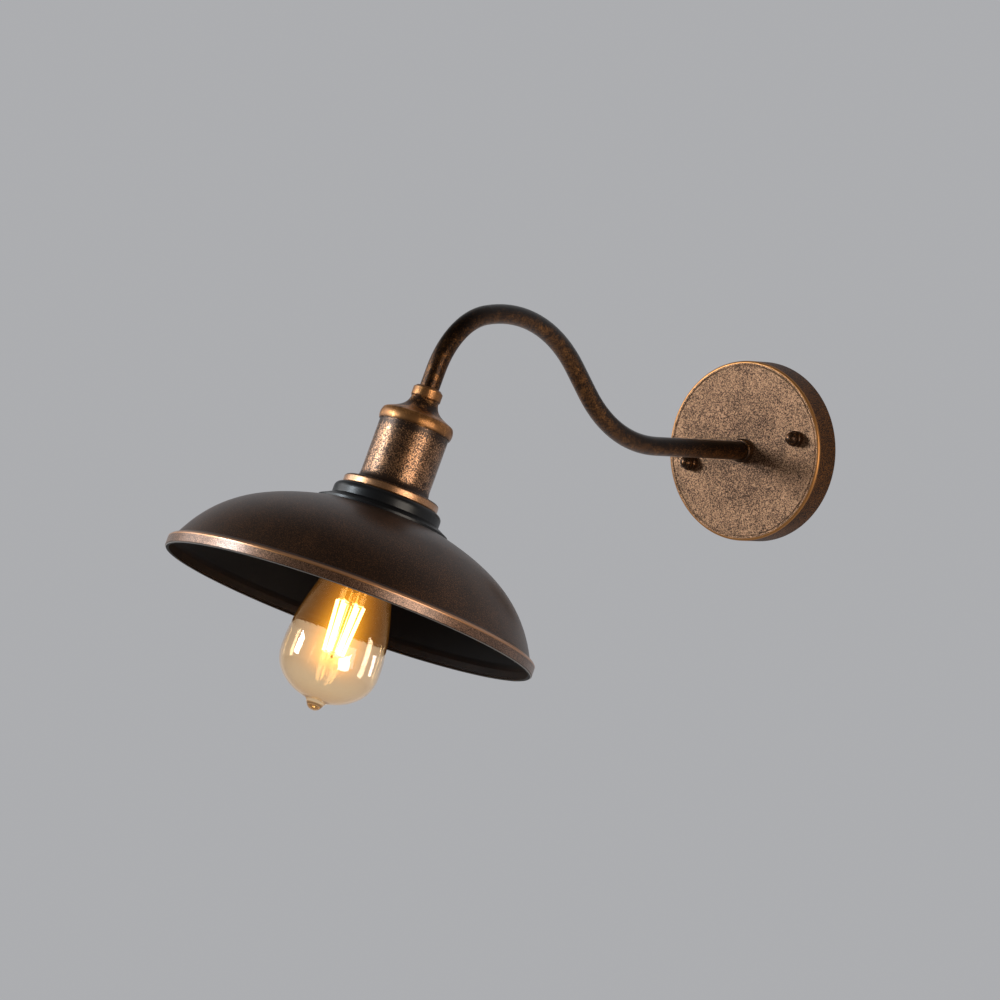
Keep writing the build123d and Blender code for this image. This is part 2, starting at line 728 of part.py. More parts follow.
# ---------------------------------------------------------------- bracket on the nipple
bracket_foot_rise = holder_top_rise
with BuildPart() as holder_bracket:
    with BuildSketch(head_side):
        with BuildLine():
            inside_top = bracket_half_top - bracket_thickness
            Polyline(
                (-bracket_half_span, bracket_foot_rise),
                (-inside_top, bracket_foot_rise),
                (-inside_top, bracket_top_rise - bracket_thickness),
                (inside_top, bracket_top_rise - bracket_thickness),
                (inside_top, bracket_foot_rise),
                (bracket_half_span, bracket_foot_rise),
                (bracket_half_span, bracket_foot_rise + bracket_thickness),
                (bracket_half_top, bracket_foot_rise + bracket_thickness),
                (bracket_half_top, bracket_top_rise),
                (-bracket_half_top, bracket_top_rise),
                (-bracket_half_top, bracket_foot_rise + bracket_thickness),
                (-bracket_half_span, bracket_foot_rise + bracket_thickness),
                close=True,
            )
        make_face()
    extrude(amount=bracket_width / 2, both=True)
    with BuildSketch(head_plane.offset(bracket_top_rise - bracket_thickness)):
        Circle(nipple_radius + loose_gap)
    extrude(amount=bracket_thickness, mode=Mode.SUBTRACT)
    with BuildSketch(head_plane.offset(bracket_foot_rise)):
        with Locations((0, -bracket_screw_reach), (0, bracket_screw_reach)):
            Circle(terminal_screw_radius + loose_gap)
    extrude(amount=bracket_thickness, mode=Mode.SUBTRACT)
save(holder_bracket, "holder_bracket")

with BuildPart() as bracket_lock_nuts:
    for foot in (bracket_top_rise, bracket_top_rise - bracket_thickness - lock_nut_height):
        with BuildSketch(head_plane.offset(foot)):
            RegularPolygon(lock_nut_across_flats / 2, 6, major_radius=False)
            Circle(nipple_radius + loose_gap, mode=Mode.SUBTRACT)
        extrude(amount=lock_nut_height)
save(bracket_lock_nuts, "bracket_lock_nuts")


# ---------------------------------------------------------------- cheese-head screws in the lampholder
bracket_screw_places = [(0, -bracket_screw_reach), (0, bracket_screw_reach)]
bracket_screw_seat = bracket_foot_rise + bracket_thickness
with BuildPart() as bracket_screws:
    with BuildSketch(head_plane.offset(bracket_screw_seat)):
        with Locations(*bracket_screw_places):
            Circle(terminal_screw_head_radius)
    extrude(amount=terminal_screw_head_height)
    with BuildSketch(head_plane.offset(bracket_screw_seat)):
        with Locations(*bracket_screw_places):
            Circle(terminal_screw_radius)
    extrude(amount=-bracket_screw_length)
    with BuildSketch(head_plane.offset(bracket_screw_seat + terminal_screw_head_height)):
        with Locations(*bracket_screw_places):
            Rectangle(2 * terminal_screw_head_radius + 1, driver_slot_width)
    extrude(amount=-driver_slot_depth, mode=Mode.SUBTRACT)
save(bracket_screws, "bracket_screws")

terminal_screw_places = [
    (-terminal_screw_reach, terminal_screw_side),
    (terminal_screw_reach, terminal_screw_side),
]
rivet_places = [(contact_rivet_reach, 0), (-shell_rivet_reach, -shell_rivet_side)]

# ---------------------------------------------------------------- ceramic lampholder
with BuildPart() as lampholder_body:
    with BuildSketch(head_section):
        with BuildLine():
            Polyline(
                (0, holder_floor_at),
                (holder_bore_radius, holder_floor_at),
                (holder_bore_radius, holder_mouth_rise),
                (holder_skirt_radius, holder_mouth_rise),
                (holder_skirt_radius, sleeve_floor_rise),
                (holder_shoulder_radius, sleeve_floor_rise),
                (holder_shoulder_radius, sleeve_floor_rise + holder_shoulder_height),
                (holder_body_radius, sleeve_floor_rise + holder_shoulder_height),
                (holder_body_radius, holder_top_rise - 1.0),
                (holder_body_radius - 1.0, holder_top_rise),
                (0, holder_top_rise),
                close=True,
            )
        make_face()
        for groove in range(holder_grooves):
            groove_rise = holder_mouth_rise + (groove + 1) * holder_groove_pitch
            with Locations((holder_skirt_radius, groove_rise)):
                RegularPolygon(holder_groove_depth, 4, mode=Mode.SUBTRACT)
    revolve(axis=head_axis)
    with BuildSketch(head_plane.offset(holder_floor_at)):
        with Locations(*rivet_places):
            Circle(rivet_radius + loose_gap)
    extrude(amount=holder_top_rise - holder_floor_at, mode=Mode.SUBTRACT)
    with BuildSketch(head_plane.offset(holder_top_rise)):
        with Locations(*bracket_screw_places):
            Circle(terminal_screw_radius + loose_gap)
    extrude(amount=-bracket_screw_length, mode=Mode.SUBTRACT)
    with BuildSketch(head_plane.offset(holder_top_rise)):
        with Locations(*terminal_screw_places):
            Circle(terminal_screw_radius + loose_gap)
    extrude(amount=-terminal_screw_length, mode=Mode.SUBTRACT)
save(lampholder_body, "lampholder_body")

terminal_middle = (terminal_near + terminal_far) / 2
shell_terminal_near = shell_rivet_reach - rivet_head_radius - 0.8
shell_terminal_middle = (shell_terminal_near + terminal_far) / 2
with BuildPart() as holder_terminals:
    with BuildSketch(head_plane.offset(holder_top_rise)):
        with Locations((terminal_middle, 0)):
            Rectangle(terminal_far - terminal_near, terminal_width)
        with Locations((-shell_terminal_middle, 0)):
            Rectangle(terminal_far - shell_terminal_near, terminal_width)
        with Locations(*terminal_screw_places):
            Circle(terminal_screw_radius + loose_gap, mode=Mode.SUBTRACT)
        with Locations(*rivet_places):
            Circle(rivet_radius + loose_gap, mode=Mode.SUBTRACT)
    extrude(amount=terminal_thickness)
save(holder_terminals, "holder_terminals")

terminal_screw_seat = holder_top_rise + terminal_thickness
with BuildPart() as holder_terminal_screws:
    with BuildSketch(head_plane.offset(terminal_screw_seat)):
        with Locations(*terminal_screw_places):
            Circle(terminal_screw_head_radius)
    extrude(amount=terminal_screw_head_height)
    with BuildSketch(head_plane.offset(terminal_screw_seat)):
        with Locations(*terminal_screw_places):
            Circle(terminal_screw_radius)
    extrude(amount=-terminal_screw_length)
    with BuildSketch(head_plane.offset(terminal_screw_seat + terminal_screw_head_height)):
        with Locations(*terminal_screw_places):
            Rectangle(2 * terminal_screw_head_radius + 1, driver_slot_width)
    extrude(amount=-driver_slot_depth, mode=Mode.SUBTRACT)
save(holder_terminal_screws, "holder_terminal_screws")


def wave_ring(crest, depth, wall, foot_rise, turns, top_lip, top_rise):
    """Closed section of a thin rolled shell: waves of one pitch, then a flat lip turned inwards at the top."""
    half = thread_pitch / 2
    for skin in (0, wall):
        for step in range(2 * turns):
            low = foot_rise + step * half
            bulge = crest - skin if step % 2 == 0 else crest - skin - 2 * depth
            ThreePointArc(
                (crest - skin - depth, low),
                (bulge, low + half / 2),
                (crest - skin - depth, low + half),
            )
    wave_top = foot_rise + turns * thread_pitch
    Line((crest - depth, foot_rise), (crest - depth - wall, foot_rise))
    Polyline(
        (crest - depth, wave_top),
        (crest - depth, top_rise),
        (top_lip, top_rise),
        (top_lip, top_rise - wall),
        (crest - depth - wall, top_rise - wall),
        (crest - depth - wall, wave_top),
    )


shell_foot_rise = holder_floor_at - shell_turns * thread_pitch - 1.5
with BuildPart() as screw_shell:
    with BuildSketch(head_section):
        with BuildLine():
            wave_ring(shell_radius, shell_wave, shell_wall, shell_foot_rise, shell_turns,
                      shell_lip_radius, holder_floor_at)
        make_face()
    revolve(axis=head_axis)
    with BuildSketch(head_plane.offset(holder_floor_at)):
        with Locations((-shell_rivet_reach, -shell_rivet_side)):
            Circle(rivet_radius + loose_gap)
    extrude(amount=-2 * shell_wall, mode=Mode.SUBTRACT)
save(screw_shell, "screw_shell")

contact_foot_rise = holder_floor_at - contact_thickness
contact_tip_rise = holder_floor_at - contact_drop
leaf_bend = contact_rivet_reach - rivet_head_radius - 0.2
leaf_end = contact_rivet_reach + rivet_head_radius + 0.2
leaf_tip_bend = leaf_bend - (contact_drop - contact_thickness) / tan(radians(contact_slope))
leaf_mitre = contact_thickness * tan(radians(contact_slope / 2))
with BuildPart() as centre_contact:
    with BuildSketch(head_section):
        with BuildLine():
            Polyline(
                (leaf_end, holder_floor_at),
                (leaf_bend, holder_floor_at),
                (leaf_tip_bend, contact_tip_rise + contact_thickness),
                (leaf_tip_bend - contact_tip_length, contact_tip_rise + contact_thickness),
                (leaf_tip_bend - contact_tip_length, contact_tip_rise),
                (leaf_tip_bend + leaf_mitre, contact_tip_rise),
                (leaf_bend + leaf_mitre, contact_foot_rise),
                (leaf_end, contact_foot_rise),
                close=True,
            )
        make_face()
    extrude(amount=contact_width / 2, both=True)
    with BuildSketch(head_plane.offset(holder_floor_at)):
        with Locations((contact_rivet_reach, 0)):
            Circle(rivet_radius + loose_gap)
    extrude(amount=-contact_thickness, mode=Mode.SUBTRACT)
save(centre_contact, "centre_contact")

rivet_top_rise = holder_top_rise + terminal_thickness
rivet_foot_rises = [contact_foot_rise, holder_floor_at - shell_wall]
with BuildPart() as contact_rivets:
    for place, foot_rise in zip(rivet_places, rivet_foot_rises):
        with BuildSketch(head_plane.offset(foot_rise - rivet_head_height)):
            with Locations(place):
                Circle(rivet_head_radius)
        extrude(amount=rivet_head_height)
        with BuildSketch(head_plane.offset(foot_rise)):
            with Locations(place):
                Circle(rivet_radius)
        extrude(amount=rivet_top_rise - foot_rise)
        with BuildSketch(head_plane.offset(rivet_top_rise)):
            with Locations(place):
                Circle(rivet_head_radius)
        extrude(amount=rivet_head_height)
save(contact_rivets, "contact_rivets")

# ================================================================ the shade and the ring that clamps it
dome_foot_radius = rim_radius - rim_shoulder


def dome_curve(inset_radius, drop):
    """The dome's long curve, from the brim down to its foot. The inner skin starts nearer the axis."""
    top = (brim_radius - drop * 0.25, brim_rise - drop)
    foot = (dome_foot_radius - inset_radius, dome_foot_rise - drop * 0.55)
    waist = (
        top[0] + dome_waist[0] * (foot[0] - top[0]),
        foot[1] + dome_waist[1] * (top[1] - foot[1]),
    )
    top_slope = (cos(radians(dome_top_slope)), -sin(radians(dome_top_slope)))
    foot_slope = (cos(radians(dome_foot_slope)), -sin(radians(dome_foot_slope)))
    Spline(top, waist, foot, tangents=[top_slope, foot_slope])
    return top, foot


ridge_rise = rim_band_height - rim_below
with BuildPart() as shade:
    with BuildSketch(head_section):
        with BuildLine():
            outer_top, outer_foot = dome_curve(0, 0)
            inner_top, inner_foot = dome_curve(shade_wall, shade_wall)
            hole_radius = holder_skirt_radius + 0.4
            bend = step_round * (1 - cos(pi / 4))
            Line(outer_top, (brim_radius, brim_rise + brim_edge))
            Line((brim_radius, brim_rise + brim_edge), (step_radius, step_foot_rise))
            Line((step_radius, step_foot_rise), (step_radius, shade_top_rise - step_round))
            ThreePointArc(
                (step_radius, shade_top_rise - step_round),
                (step_radius - bend, shade_top_rise - bend),
                (step_radius - step_round, shade_top_rise),
            )
            Line((step_radius - step_round, shade_top_rise), (hole_radius, shade_top_rise))
            Line((hole_radius, shade_top_rise), (hole_radius, shade_top_rise - shade_wall))
            Line((hole_radius, shade_top_rise - shade_wall),
                 (step_radius - step_round, shade_top_rise - shade_wall))
            ThreePointArc(
                (step_radius - step_round, shade_top_rise - shade_wall),
                (step_radius - bend - 0.7 * shade_wall, shade_top_rise - bend - 0.7 * shade_wall),
                (step_radius - shade_wall, shade_top_rise - step_round),
            )
            Line((step_radius - shade_wall, shade_top_rise - step_round),
                 (step_radius - shade_wall, step_foot_rise - 0.8 * shade_wall))
            Line((step_radius - shade_wall, step_foot_rise - 0.8 * shade_wall), inner_top)
            # the shoulder, the band, the rolled lip and the inside of the band
            Polyline(
                outer_foot,
                (rim_radius - 1.3, ridge_rise + 0.8),
                (rim_radius, ridge_rise - 0.5),
                (rim_radius, -rim_below + 0.8),
                (rim_radius - 0.8, -rim_below),
                (rim_radius - rim_lip_inset, -rim_below),
                (rim_radius - rim_lip_inset - 0.4, -rim_below + 0.5),
                (rim_radius - rim_lip_inset, -rim_below + 1.2),
                (rim_radius - shade_wall, -rim_below + 1.6),
                (rim_radius - shade_wall, ridge_rise - 1.0),
                (rim_radius - 1.9, ridge_rise - 0.2),
                inner_foot,
            )
        make_face()
    revolve(axis=head_axis)
save(shade, "shade")

ring_nut_top_rise = shade_top_rise - shade_wall
with BuildPart() as shade_ring:
    with BuildSketch(head_plane.offset(ring_nut_top_rise)):
        Circle(ring_nut_radius)
        Circle(holder_skirt_radius + 0.2, mode=Mode.SUBTRACT)
        with PolarLocations(ring_nut_radius, ring_nut_grips):
            Circle(ring_nut_grip_radius, mode=Mode.SUBTRACT)
    extrude(amount=-ring_nut_height)
save(shade_ring, "shade_ring")


# ================================================================ wires in the arm
def lamp_wire_end(side):
    """Points in the head, from inside the end nipple out to the terminal at the side."""
    across = -side * wire_spread * sin(radians(stud_angle))
    depth = -side * wire_spread * cos(radians(stud_angle))
    reach = -side * wire_end_reach
    end_rise = holder_top_rise + terminal_thickness + wire_end_gap
    turn_rise = end_rise + 0.5 * Vector(reach - across, -wire_end_side - depth, 0).length
    return [
        head_plane.from_local_coords(point)
        for point in (
            (across, depth, end_nipple_foot_rise + wire_nipple_depth),
            (across, depth, turn_rise),
            (reach, -wire_end_side, turn_rise),
            (reach, -wire_end_side, end_rise),
        )
    ]


def lamp_wire_plane(side):
    """The arm's plane, moved to the wire's own place across the arm."""
    return arm_plane.offset(side * wire_spread * sin(radians(stud_angle)))


live_end_points = lamp_wire_end(live_side)
with BuildPart() as live_wire:
    with BuildLine(lamp_wire_plane(live_side)) as live_path:
        live_hook = arm_chain(nipple_end_out - wire_end_gap, live_side * wire_spread * cos(radians(stud_angle)))
        live_drop = Line(live_hook @ 1, live_end_points[0])
        FilletPolyline(*live_end_points, radius=corner_radii(live_end_points))
    with BuildSketch(Plane(origin=live_path.line @ 0, x_dir=(1, 0, 0), z_dir=live_path.line % 0)):
        Circle(wire_radius)
    sweep(path=live_path.wires()[0])
save(live_wire, "live_wire")

neutral_end_points = lamp_wire_end(neutral_side)
with BuildPart() as neutral_wire:
    with BuildLine(lamp_wire_plane(neutral_side)) as neutral_path:
        neutral_hook = arm_chain(nipple_end_out - wire_end_gap, neutral_side * wire_spread * cos(radians(stud_angle)))
        neutral_drop = Line(neutral_hook @ 1, neutral_end_points[0])
        FilletPolyline(*neutral_end_points, radius=corner_radii(neutral_end_points))
    with BuildSketch(Plane(origin=neutral_path.line @ 0, x_dir=(1, 0, 0), z_dir=neutral_path.line % 0)):
        Circle(wire_radius)
    sweep(path=neutral_path.wires()[0])
save(neutral_wire, "neutral_wire")

# ================================================================ the bulb
base_radius = shell_radius - 2 * shell_wave - shell_wall - bulb_base_clearance
base_top_rise = bulb_top_rise - tip_contact_height - insulator_height
base_foot_rise = base_top_rise - base_turns * thread_pitch - base_neck_height

with BuildPart() as bulb_base_shell:
    with BuildSketch(head_section):
        with BuildLine():
            wave_ring(base_radius, shell_wave, base_wall, base_foot_rise, base_turns,
                      base_radius - 2.2, base_top_rise)
        make_face()
    revolve(axis=head_axis)
save(bulb_base_shell, "bulb_base_shell")

with BuildPart() as bulb_base_insulator:
    with BuildSketch(head_section):
        with BuildLine():
            Polyline(
                (0, base_top_rise + insulator_height),
                (insulator_tip_radius, base_top_rise + insulator_height),
                (base_radius - 1.0, base_top_rise),
                (base_radius - 2.3, base_top_rise),
                (base_radius - 2.3, base_top_rise - 1.5),
                (0, base_top_rise - 1.5),
                close=True,
            )
        make_face()
    revolve(axis=head_axis)
save(bulb_base_insulator, "bulb_base_insulator")

with BuildPart() as bulb_tip_contact:
    with BuildSketch(head_section):
        with BuildLine():
            contact_seat = base_top_rise + insulator_height
            Polyline((0, bulb_top_rise), (0, contact_seat), (tip_contact_radius, contact_seat))
            TangentArc((0, bulb_top_rise), (tip_contact_radius, contact_seat), tangent=(1, 0))
        make_face()
    revolve(axis=head_axis)
save(bulb_tip_contact, "bulb_tip_contact")

glass_top_rise = base_foot_rise + glass_neck_cover
belly_at = bulb_tip_rise + glass_belly_rise
waist_at = bulb_tip_rise + glass_waist_rise
bowl_foot_at = belly_at - glass_bowl_depth


def glass_skin(inset):
    """One skin of the envelope, from its neck to its foot on the axis, inset by the glass's wall."""
    neck = (glass_neck_radius - inset, glass_top_rise)
    collar = (glass_collar_radius - inset, base_foot_rise - 1.4)
    belly = (glass_radius - inset, belly_at)
    Line(neck, (glass_neck_radius - inset, base_foot_rise - 0.4))
    Line((glass_neck_radius - inset, base_foot_rise - 0.4), collar)
    Spline(
        collar,
        (glass_waist_radius - inset, waist_at),
        belly,
        tangents=[(0.25, -1), (0, -1)],
    )
    return neck, belly


with BuildPart() as bulb_glass:
    with BuildSketch(head_section):
        with BuildLine():
            outer_neck, outer_belly = glass_skin(0)
            inner_neck, inner_belly = glass_skin(glass_wall)
            tip_root = (1.75 * glass_tip_radius, bowl_foot_at + 0.9)
            Spline(
                outer_belly,
                (0.72 * glass_radius, belly_at - 0.71 * glass_bowl_depth),
                tip_root,
                tangents=[(0, -1), (-1, -0.22)],
            )
            Spline(
                tip_root,
                (glass_tip_radius, bulb_tip_rise + 0.42 * (bowl_foot_at - bulb_tip_rise)),
                (0, bulb_tip_rise),
                tangents=[(-1, -0.22), (-1, 0)],
            )
            Line((0, bulb_tip_rise), (0, bowl_foot_at + glass_wall))
            Spline(
                inner_belly,
                (0.72 * (glass_radius - glass_wall), belly_at - 0.71 * (glass_bowl_depth - glass_wall)),
                (0, bowl_foot_at + glass_wall),
                tangents=[(0, -1), (-1, 0)],
            )
            Line(outer_neck, inner_neck)
        make_face()
    revolve(axis=head_axis)
save(bulb_glass, "bulb_glass")

stem_seat_rise = glass_top_rise
stem_foot_at = bulb_tip_rise + stem_foot_rise
rod_end_at = bulb_tip_rise + stem_rod_end_rise
filament_top_at = bulb_tip_rise + filament_top_rise
filament_foot_at = filament_top_at - filament_length
with BuildPart() as bulb_stem:
    with BuildSketch(head_section):
        with BuildLine():
            Polyline(
                (0, stem_seat_rise + stem_flare_thickness),
                (glass_neck_radius - 0.3, stem_seat_rise + stem_flare_thickness),
                (glass_neck_radius - 0.3, stem_seat_rise),
                (stem_tube_radius + 1.5, stem_seat_rise),
                (stem_tube_radius, stem_seat_rise - stem_flare_height),
                (stem_tube_radius, stem_foot_at + 2.0),
                (stem_rod_radius, stem_foot_at),
                (stem_rod_radius, filament_top_at + button_height / 2),
                (button_radius, filament_top_at + button_height / 4),
                (button_radius, filament_top_at - button_height / 4),
                (stem_rod_radius, filament_top_at - button_height / 2),
                (stem_rod_radius, filament_foot_at + button_height / 2),
                (0.8 * button_radius, filament_foot_at + button_height / 4),
                (0.8 * button_radius, filament_foot_at - button_height / 4),
                (stem_rod_radius, filament_foot_at - button_height / 2),
                (0, rod_end_at),
                close=True,
            )
        make_face()
    revolve(axis=head_axis)
save(bulb_stem, "bulb_stem")

with BuildPart() as bulb_filaments:
    for turn in range(filament_count):
        angle = 2 * pi * (turn + 0.5) / filament_count
        top = head_plane.from_local_coords(
            (filament_top_reach * cos(angle), filament_top_reach * sin(angle), filament_top_at)
        )
        foot = head_plane.from_local_coords(
            (filament_foot_reach * cos(angle), filament_foot_reach * sin(angle), filament_foot_at)
        )
        with BuildSketch(Plane(origin=foot, z_dir=top - foot)):
            Circle(filament_radius)
        extrude(amount=(top - foot).length)
save(bulb_filaments, "bulb_filaments")

with BuildPart() as bulb_support_wires:
    for turn in range(filament_count):
        angle = 2 * pi * (turn + 0.5) / filament_count
        for reach, rise, hub in (
            (filament_top_reach, filament_top_at, button_radius),
            (filament_foot_reach, filament_foot_at, 0.8 * button_radius),
        ):
            lean = 1 if hub == button_radius else -1
            start = head_plane.from_local_coords(
                ((hub + loose_gap) * cos(angle), (hub + loose_gap) * sin(angle), rise)
            )
            end = head_plane.from_local_coords(
                ((reach - 0.2) * cos(angle), (reach - 0.2) * sin(angle), rise + lean * 2 * support_wire_radius)
            )
            with BuildSketch(Plane(origin=start, z_dir=end - start)):
                Circle(support_wire_radius)
            extrude(amount=(end - start).length)
save(bulb_support_wires, "bulb_support_wires")
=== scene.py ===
# %% [markdown]
# # A gooseneck wall sconce in antique copper
#
# This lesson dresses a wall lamp for a studio picture. The real lamp is a pressed steel canopy,
# a bent tube, a turned socket cup, a spun shade and an amber bulb with long glowing sticks. Its
# metal is sprayed almost black, then dusted with copper and rubbed bright on the raised rings.
#
# The solids come ready made and at their real size, one mesh to a piece, each on the body that
# it moves with. What is left to do is the finish of each piece, the glass, the glow, the light
# and the camera.

# %% Load the solids
import math

import bpy
from mathutils import Matrix, Vector

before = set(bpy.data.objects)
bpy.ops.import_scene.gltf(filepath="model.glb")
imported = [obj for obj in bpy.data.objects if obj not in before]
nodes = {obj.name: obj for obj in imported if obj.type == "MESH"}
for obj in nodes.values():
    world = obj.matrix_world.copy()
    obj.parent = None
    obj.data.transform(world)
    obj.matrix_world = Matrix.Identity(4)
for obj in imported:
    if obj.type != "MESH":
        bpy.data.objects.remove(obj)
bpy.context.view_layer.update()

# %% [markdown]
# ## Two places to measure from
#
# The canopy lies on the wall with its centre at the origin, and the lamp reaches out along -Y.
# The head hangs tilted, so it is measured from a place of its own: the centre of the shade's
# mouth, and up the lamp's axis from there. The sprayed pieces of the head are round about that
# axis, so the rise above the mouth says which ring a detail is on.

# %% The wall and the head
MM = 0.001
HEAD_TILT = math.radians(16.8)
MOUTH_OUT = 426.419      # mm from the wall
MOUTH_DOWN = 113.039     # mm below the canopy's centre

head_up = Vector((0, math.sin(HEAD_TILT), math.cos(HEAD_TILT)))
mouth_centre = Vector((0, -MOUTH_OUT, -MOUTH_DOWN)) * MM
print("the shade's mouth is", round(-mouth_centre.y / MM), "mm from the wall")

# %% [markdown]
# ## The camera
#
# The photograph looks at the lamp from the right of the wall's normal, slightly from above, and
# it is tipped about ten degrees to the left. A long lens keeps the shade's two rims almost
# alike. The numbers come from matching the canopy's edge, the arm and the shade's rim.

# %% Set the camera
CAMERA_SIDE = math.radians(35.2843)
CAMERA_HEIGHT = math.radians(5.6503)
CAMERA_ROLL = math.radians(10.1509)
CAMERA_DISTANCE = 5.0
PIXELS_PER_MM = 1.4963
PICTURE_PIXELS = 1000
AIM_RIGHT = -173.9396    # mm from the canopy's centre to the middle of the picture
AIM_UP = -32.37

toward_camera = Vector((
    math.sin(CAMERA_SIDE) * math.cos(CAMERA_HEIGHT),
    -math.cos(CAMERA_SIDE) * math.cos(CAMERA_HEIGHT),
    math.sin(CAMERA_HEIGHT)))
level_right = Vector((math.cos(CAMERA_SIDE), math.sin(CAMERA_SIDE), 0))
level_up = toward_camera.cross(level_right)
camera_right = math.cos(CAMERA_ROLL) * level_right + math.sin(CAMERA_ROLL) * level_up
camera_up = -math.sin(CAMERA_ROLL) * level_right + math.cos(CAMERA_ROLL) * level_up

camera_data = bpy.data.cameras.new("photo_camera")
camera_data.sensor_width = 36
camera_data.lens = PIXELS_PER_MM * CAMERA_DISTANCE / MM * camera_data.sensor_width / PICTURE_PIXELS
camera_data.clip_end = 200
camera = bpy.data.objects.new("photo_camera", camera_data)
bpy.context.scene.collection.objects.link(camera)
picture_middle = (AIM_RIGHT * camera_right + AIM_UP * camera_up) * MM
camera_place = Matrix((camera_right, camera_up, toward_camera)).transposed().to_4x4()
camera_place.translation = picture_middle + CAMERA_DISTANCE * toward_camera
camera.matrix_world = camera_place
bpy.context.scene.camera = camera
bpy.context.scene.view_settings.view_transform = "Standard"
print("lens", round(camera_data.lens), "mm")

# %% [markdown]
# ## Floor and backdrop
#
# A lamp on a wall has nothing under it, so the floor is a wide, plain grey sheet well below. It
# is seen from above only, and from below it is clear, so that the lamp can be looked at from
# underneath. Metal and glass mirror the same grey on the wall's side. The room in front of the
# lamp is dim, as a studio is behind the camera, and that keeps the dark metal dark.
#
# Both the world and the floor ask which kind of ray is looking at them, so the first code cell
# makes that question, and the few helpers that every shader tree below is built with.

# %% Helpers for shader trees
def add_node(tree, kind, **settings):
    """Put a node in a tree and set its options."""
    node = tree.nodes.new(kind)
    for setting, value in settings.items():
        setattr(node, setting, value)
    return node


def give(tree, socket, given):
    """Set a socket to a number, colour or vector, or link it to another node's output."""
    if isinstance(given, bpy.types.NodeSocket):
        tree.links.new(given, socket)
    else:
        socket.default_value = given


def maths(tree, operation, *values, clamp=False):
    """One Math node; a value is a number or another node's output."""
    node = add_node(tree, "ShaderNodeMath", operation=operation, use_clamp=clamp)
    for socket, value in zip(node.inputs, values):
        give(tree, socket, value)
    return node.outputs[0]


def smooth_step(tree, value, low, high):
    """0 at low and 1 at high, with a smooth change between."""
    node = add_node(tree, "ShaderNodeMapRange", interpolation_type="SMOOTHSTEP")
    for socket, given in (("Value", value), ("From Min", low), ("From Max", high)):
        give(tree, node.inputs[socket], given)
    return node.outputs["Result"]


def mix_shaders(tree, factor, first, second):
    """The first shader where the factor is 0, and the second where it is 1."""
    node = add_node(tree, "ShaderNodeMixShader")
    for socket, given in zip(node.inputs, (factor, first, second)):
        give(tree, socket, given)
    return node.outputs[0]


def as_background(tree, mirrored_part):
    """1 for rays from the camera or through glass, and a given part of 1 for mirrored rays."""
    path = add_node(tree, "ShaderNodeLightPath")
    mirrored = maths(tree, "MULTIPLY", path.outputs["Is Glossy Ray"], mirrored_part)
    direct = maths(tree, "MAXIMUM", path.outputs["Is Camera Ray"], path.outputs["Is Transmission Ray"])
    return maths(tree, "MAXIMUM", direct, mirrored)


print("helpers ready for", bpy.app.version_string)

# %% [markdown]
# The room is a plain colour with two strengths. The camera sees it pale grey. As light it is
# dim, and mirrored rays see more of the grey the more they turn to the wall.

# %% The room round the lamp
ROOM_GREY = (0.415, 0.42, 0.435, 1)
DIM_ROOM = (0.055, 0.055, 0.058, 1)

world = bpy.data.worlds.new("studio")
world.use_nodes = True
bpy.context.scene.world = world
sky = world.node_tree
sky.nodes.clear()
shown = add_node(sky, "ShaderNodeBackground")
shown.inputs["Color"].default_value = ROOM_GREY
ambient = add_node(sky, "ShaderNodeBackground")
ambient.inputs["Color"].default_value = DIM_ROOM
sky_out = add_node(sky, "ShaderNodeOutputWorld")
way = add_node(sky, "ShaderNodeSeparateXYZ")
sky.links.new(add_node(sky, "ShaderNodeTexCoord").outputs["Generated"], way.inputs[0])
wall_side = smooth_step(sky, way.outputs["Y"], 0.0, 0.70)
room = mix_shaders(sky, as_background(sky, wall_side), ambient.outputs[0], shown.outputs[0])
sky.links.new(room, sky_out.inputs[0])
print("the room lights the lamp with", DIM_ROOM[:3])

# %% [markdown]
# The floor is one large square. Light bounces off it as off matt paint, but the camera sees the
# room's plain grey in its place, so it shows no shadow. From below it is clear.

# %% The floor
FLOOR_LEVEL = -0.95
FLOOR_REACH = 60
FLOOR_CORNERS = ((-1, -1), (1, -1), (1, 1), (-1, 1))
FLOOR_FADE = (-1.2, 0.6)  # metres along Y, from in front of the lamp to behind the wall

floor_mesh = bpy.data.meshes.new("floor")
corners = [(x * FLOOR_REACH, y * FLOOR_REACH, FLOOR_LEVEL) for x, y in FLOOR_CORNERS]
floor_mesh.from_pydata(corners, [], [(0, 1, 2, 3)])
floor = bpy.data.objects.new("floor", floor_mesh)
bpy.context.scene.collection.objects.link(floor)

floor_paint = bpy.data.materials.new("floor_paint")
floor_paint.use_nodes = True
tree = floor_paint.node_tree
tree.nodes.clear()
matt = add_node(tree, "ShaderNodeBsdfDiffuse")
matt.inputs["Color"].default_value = (0.20, 0.20, 0.21, 1)
plain = add_node(tree, "ShaderNodeEmission")
plain.inputs["Color"].default_value = ROOM_GREY
clear = add_node(tree, "ShaderNodeBsdfTransparent")
faces = add_node(tree, "ShaderNodeNewGeometry")
spread = add_node(tree, "ShaderNodeSeparateXYZ")
floor_out = add_node(tree, "ShaderNodeOutputMaterial")
tree.links.new(faces.outputs["Position"], spread.inputs[0])
under_the_wall = smooth_step(tree, spread.outputs["Y"], *FLOOR_FADE)
from_above = mix_shaders(tree, as_background(tree, under_the_wall), matt.outputs[0], plain.outputs[0])
from_anywhere = mix_shaders(tree, faces.outputs["Backfacing"], from_above, clear.outputs[0])
tree.links.new(from_anywhere, floor_out.inputs[0])
floor_mesh.materials.append(floor_paint)
print("floor at", FLOOR_LEVEL, "m")

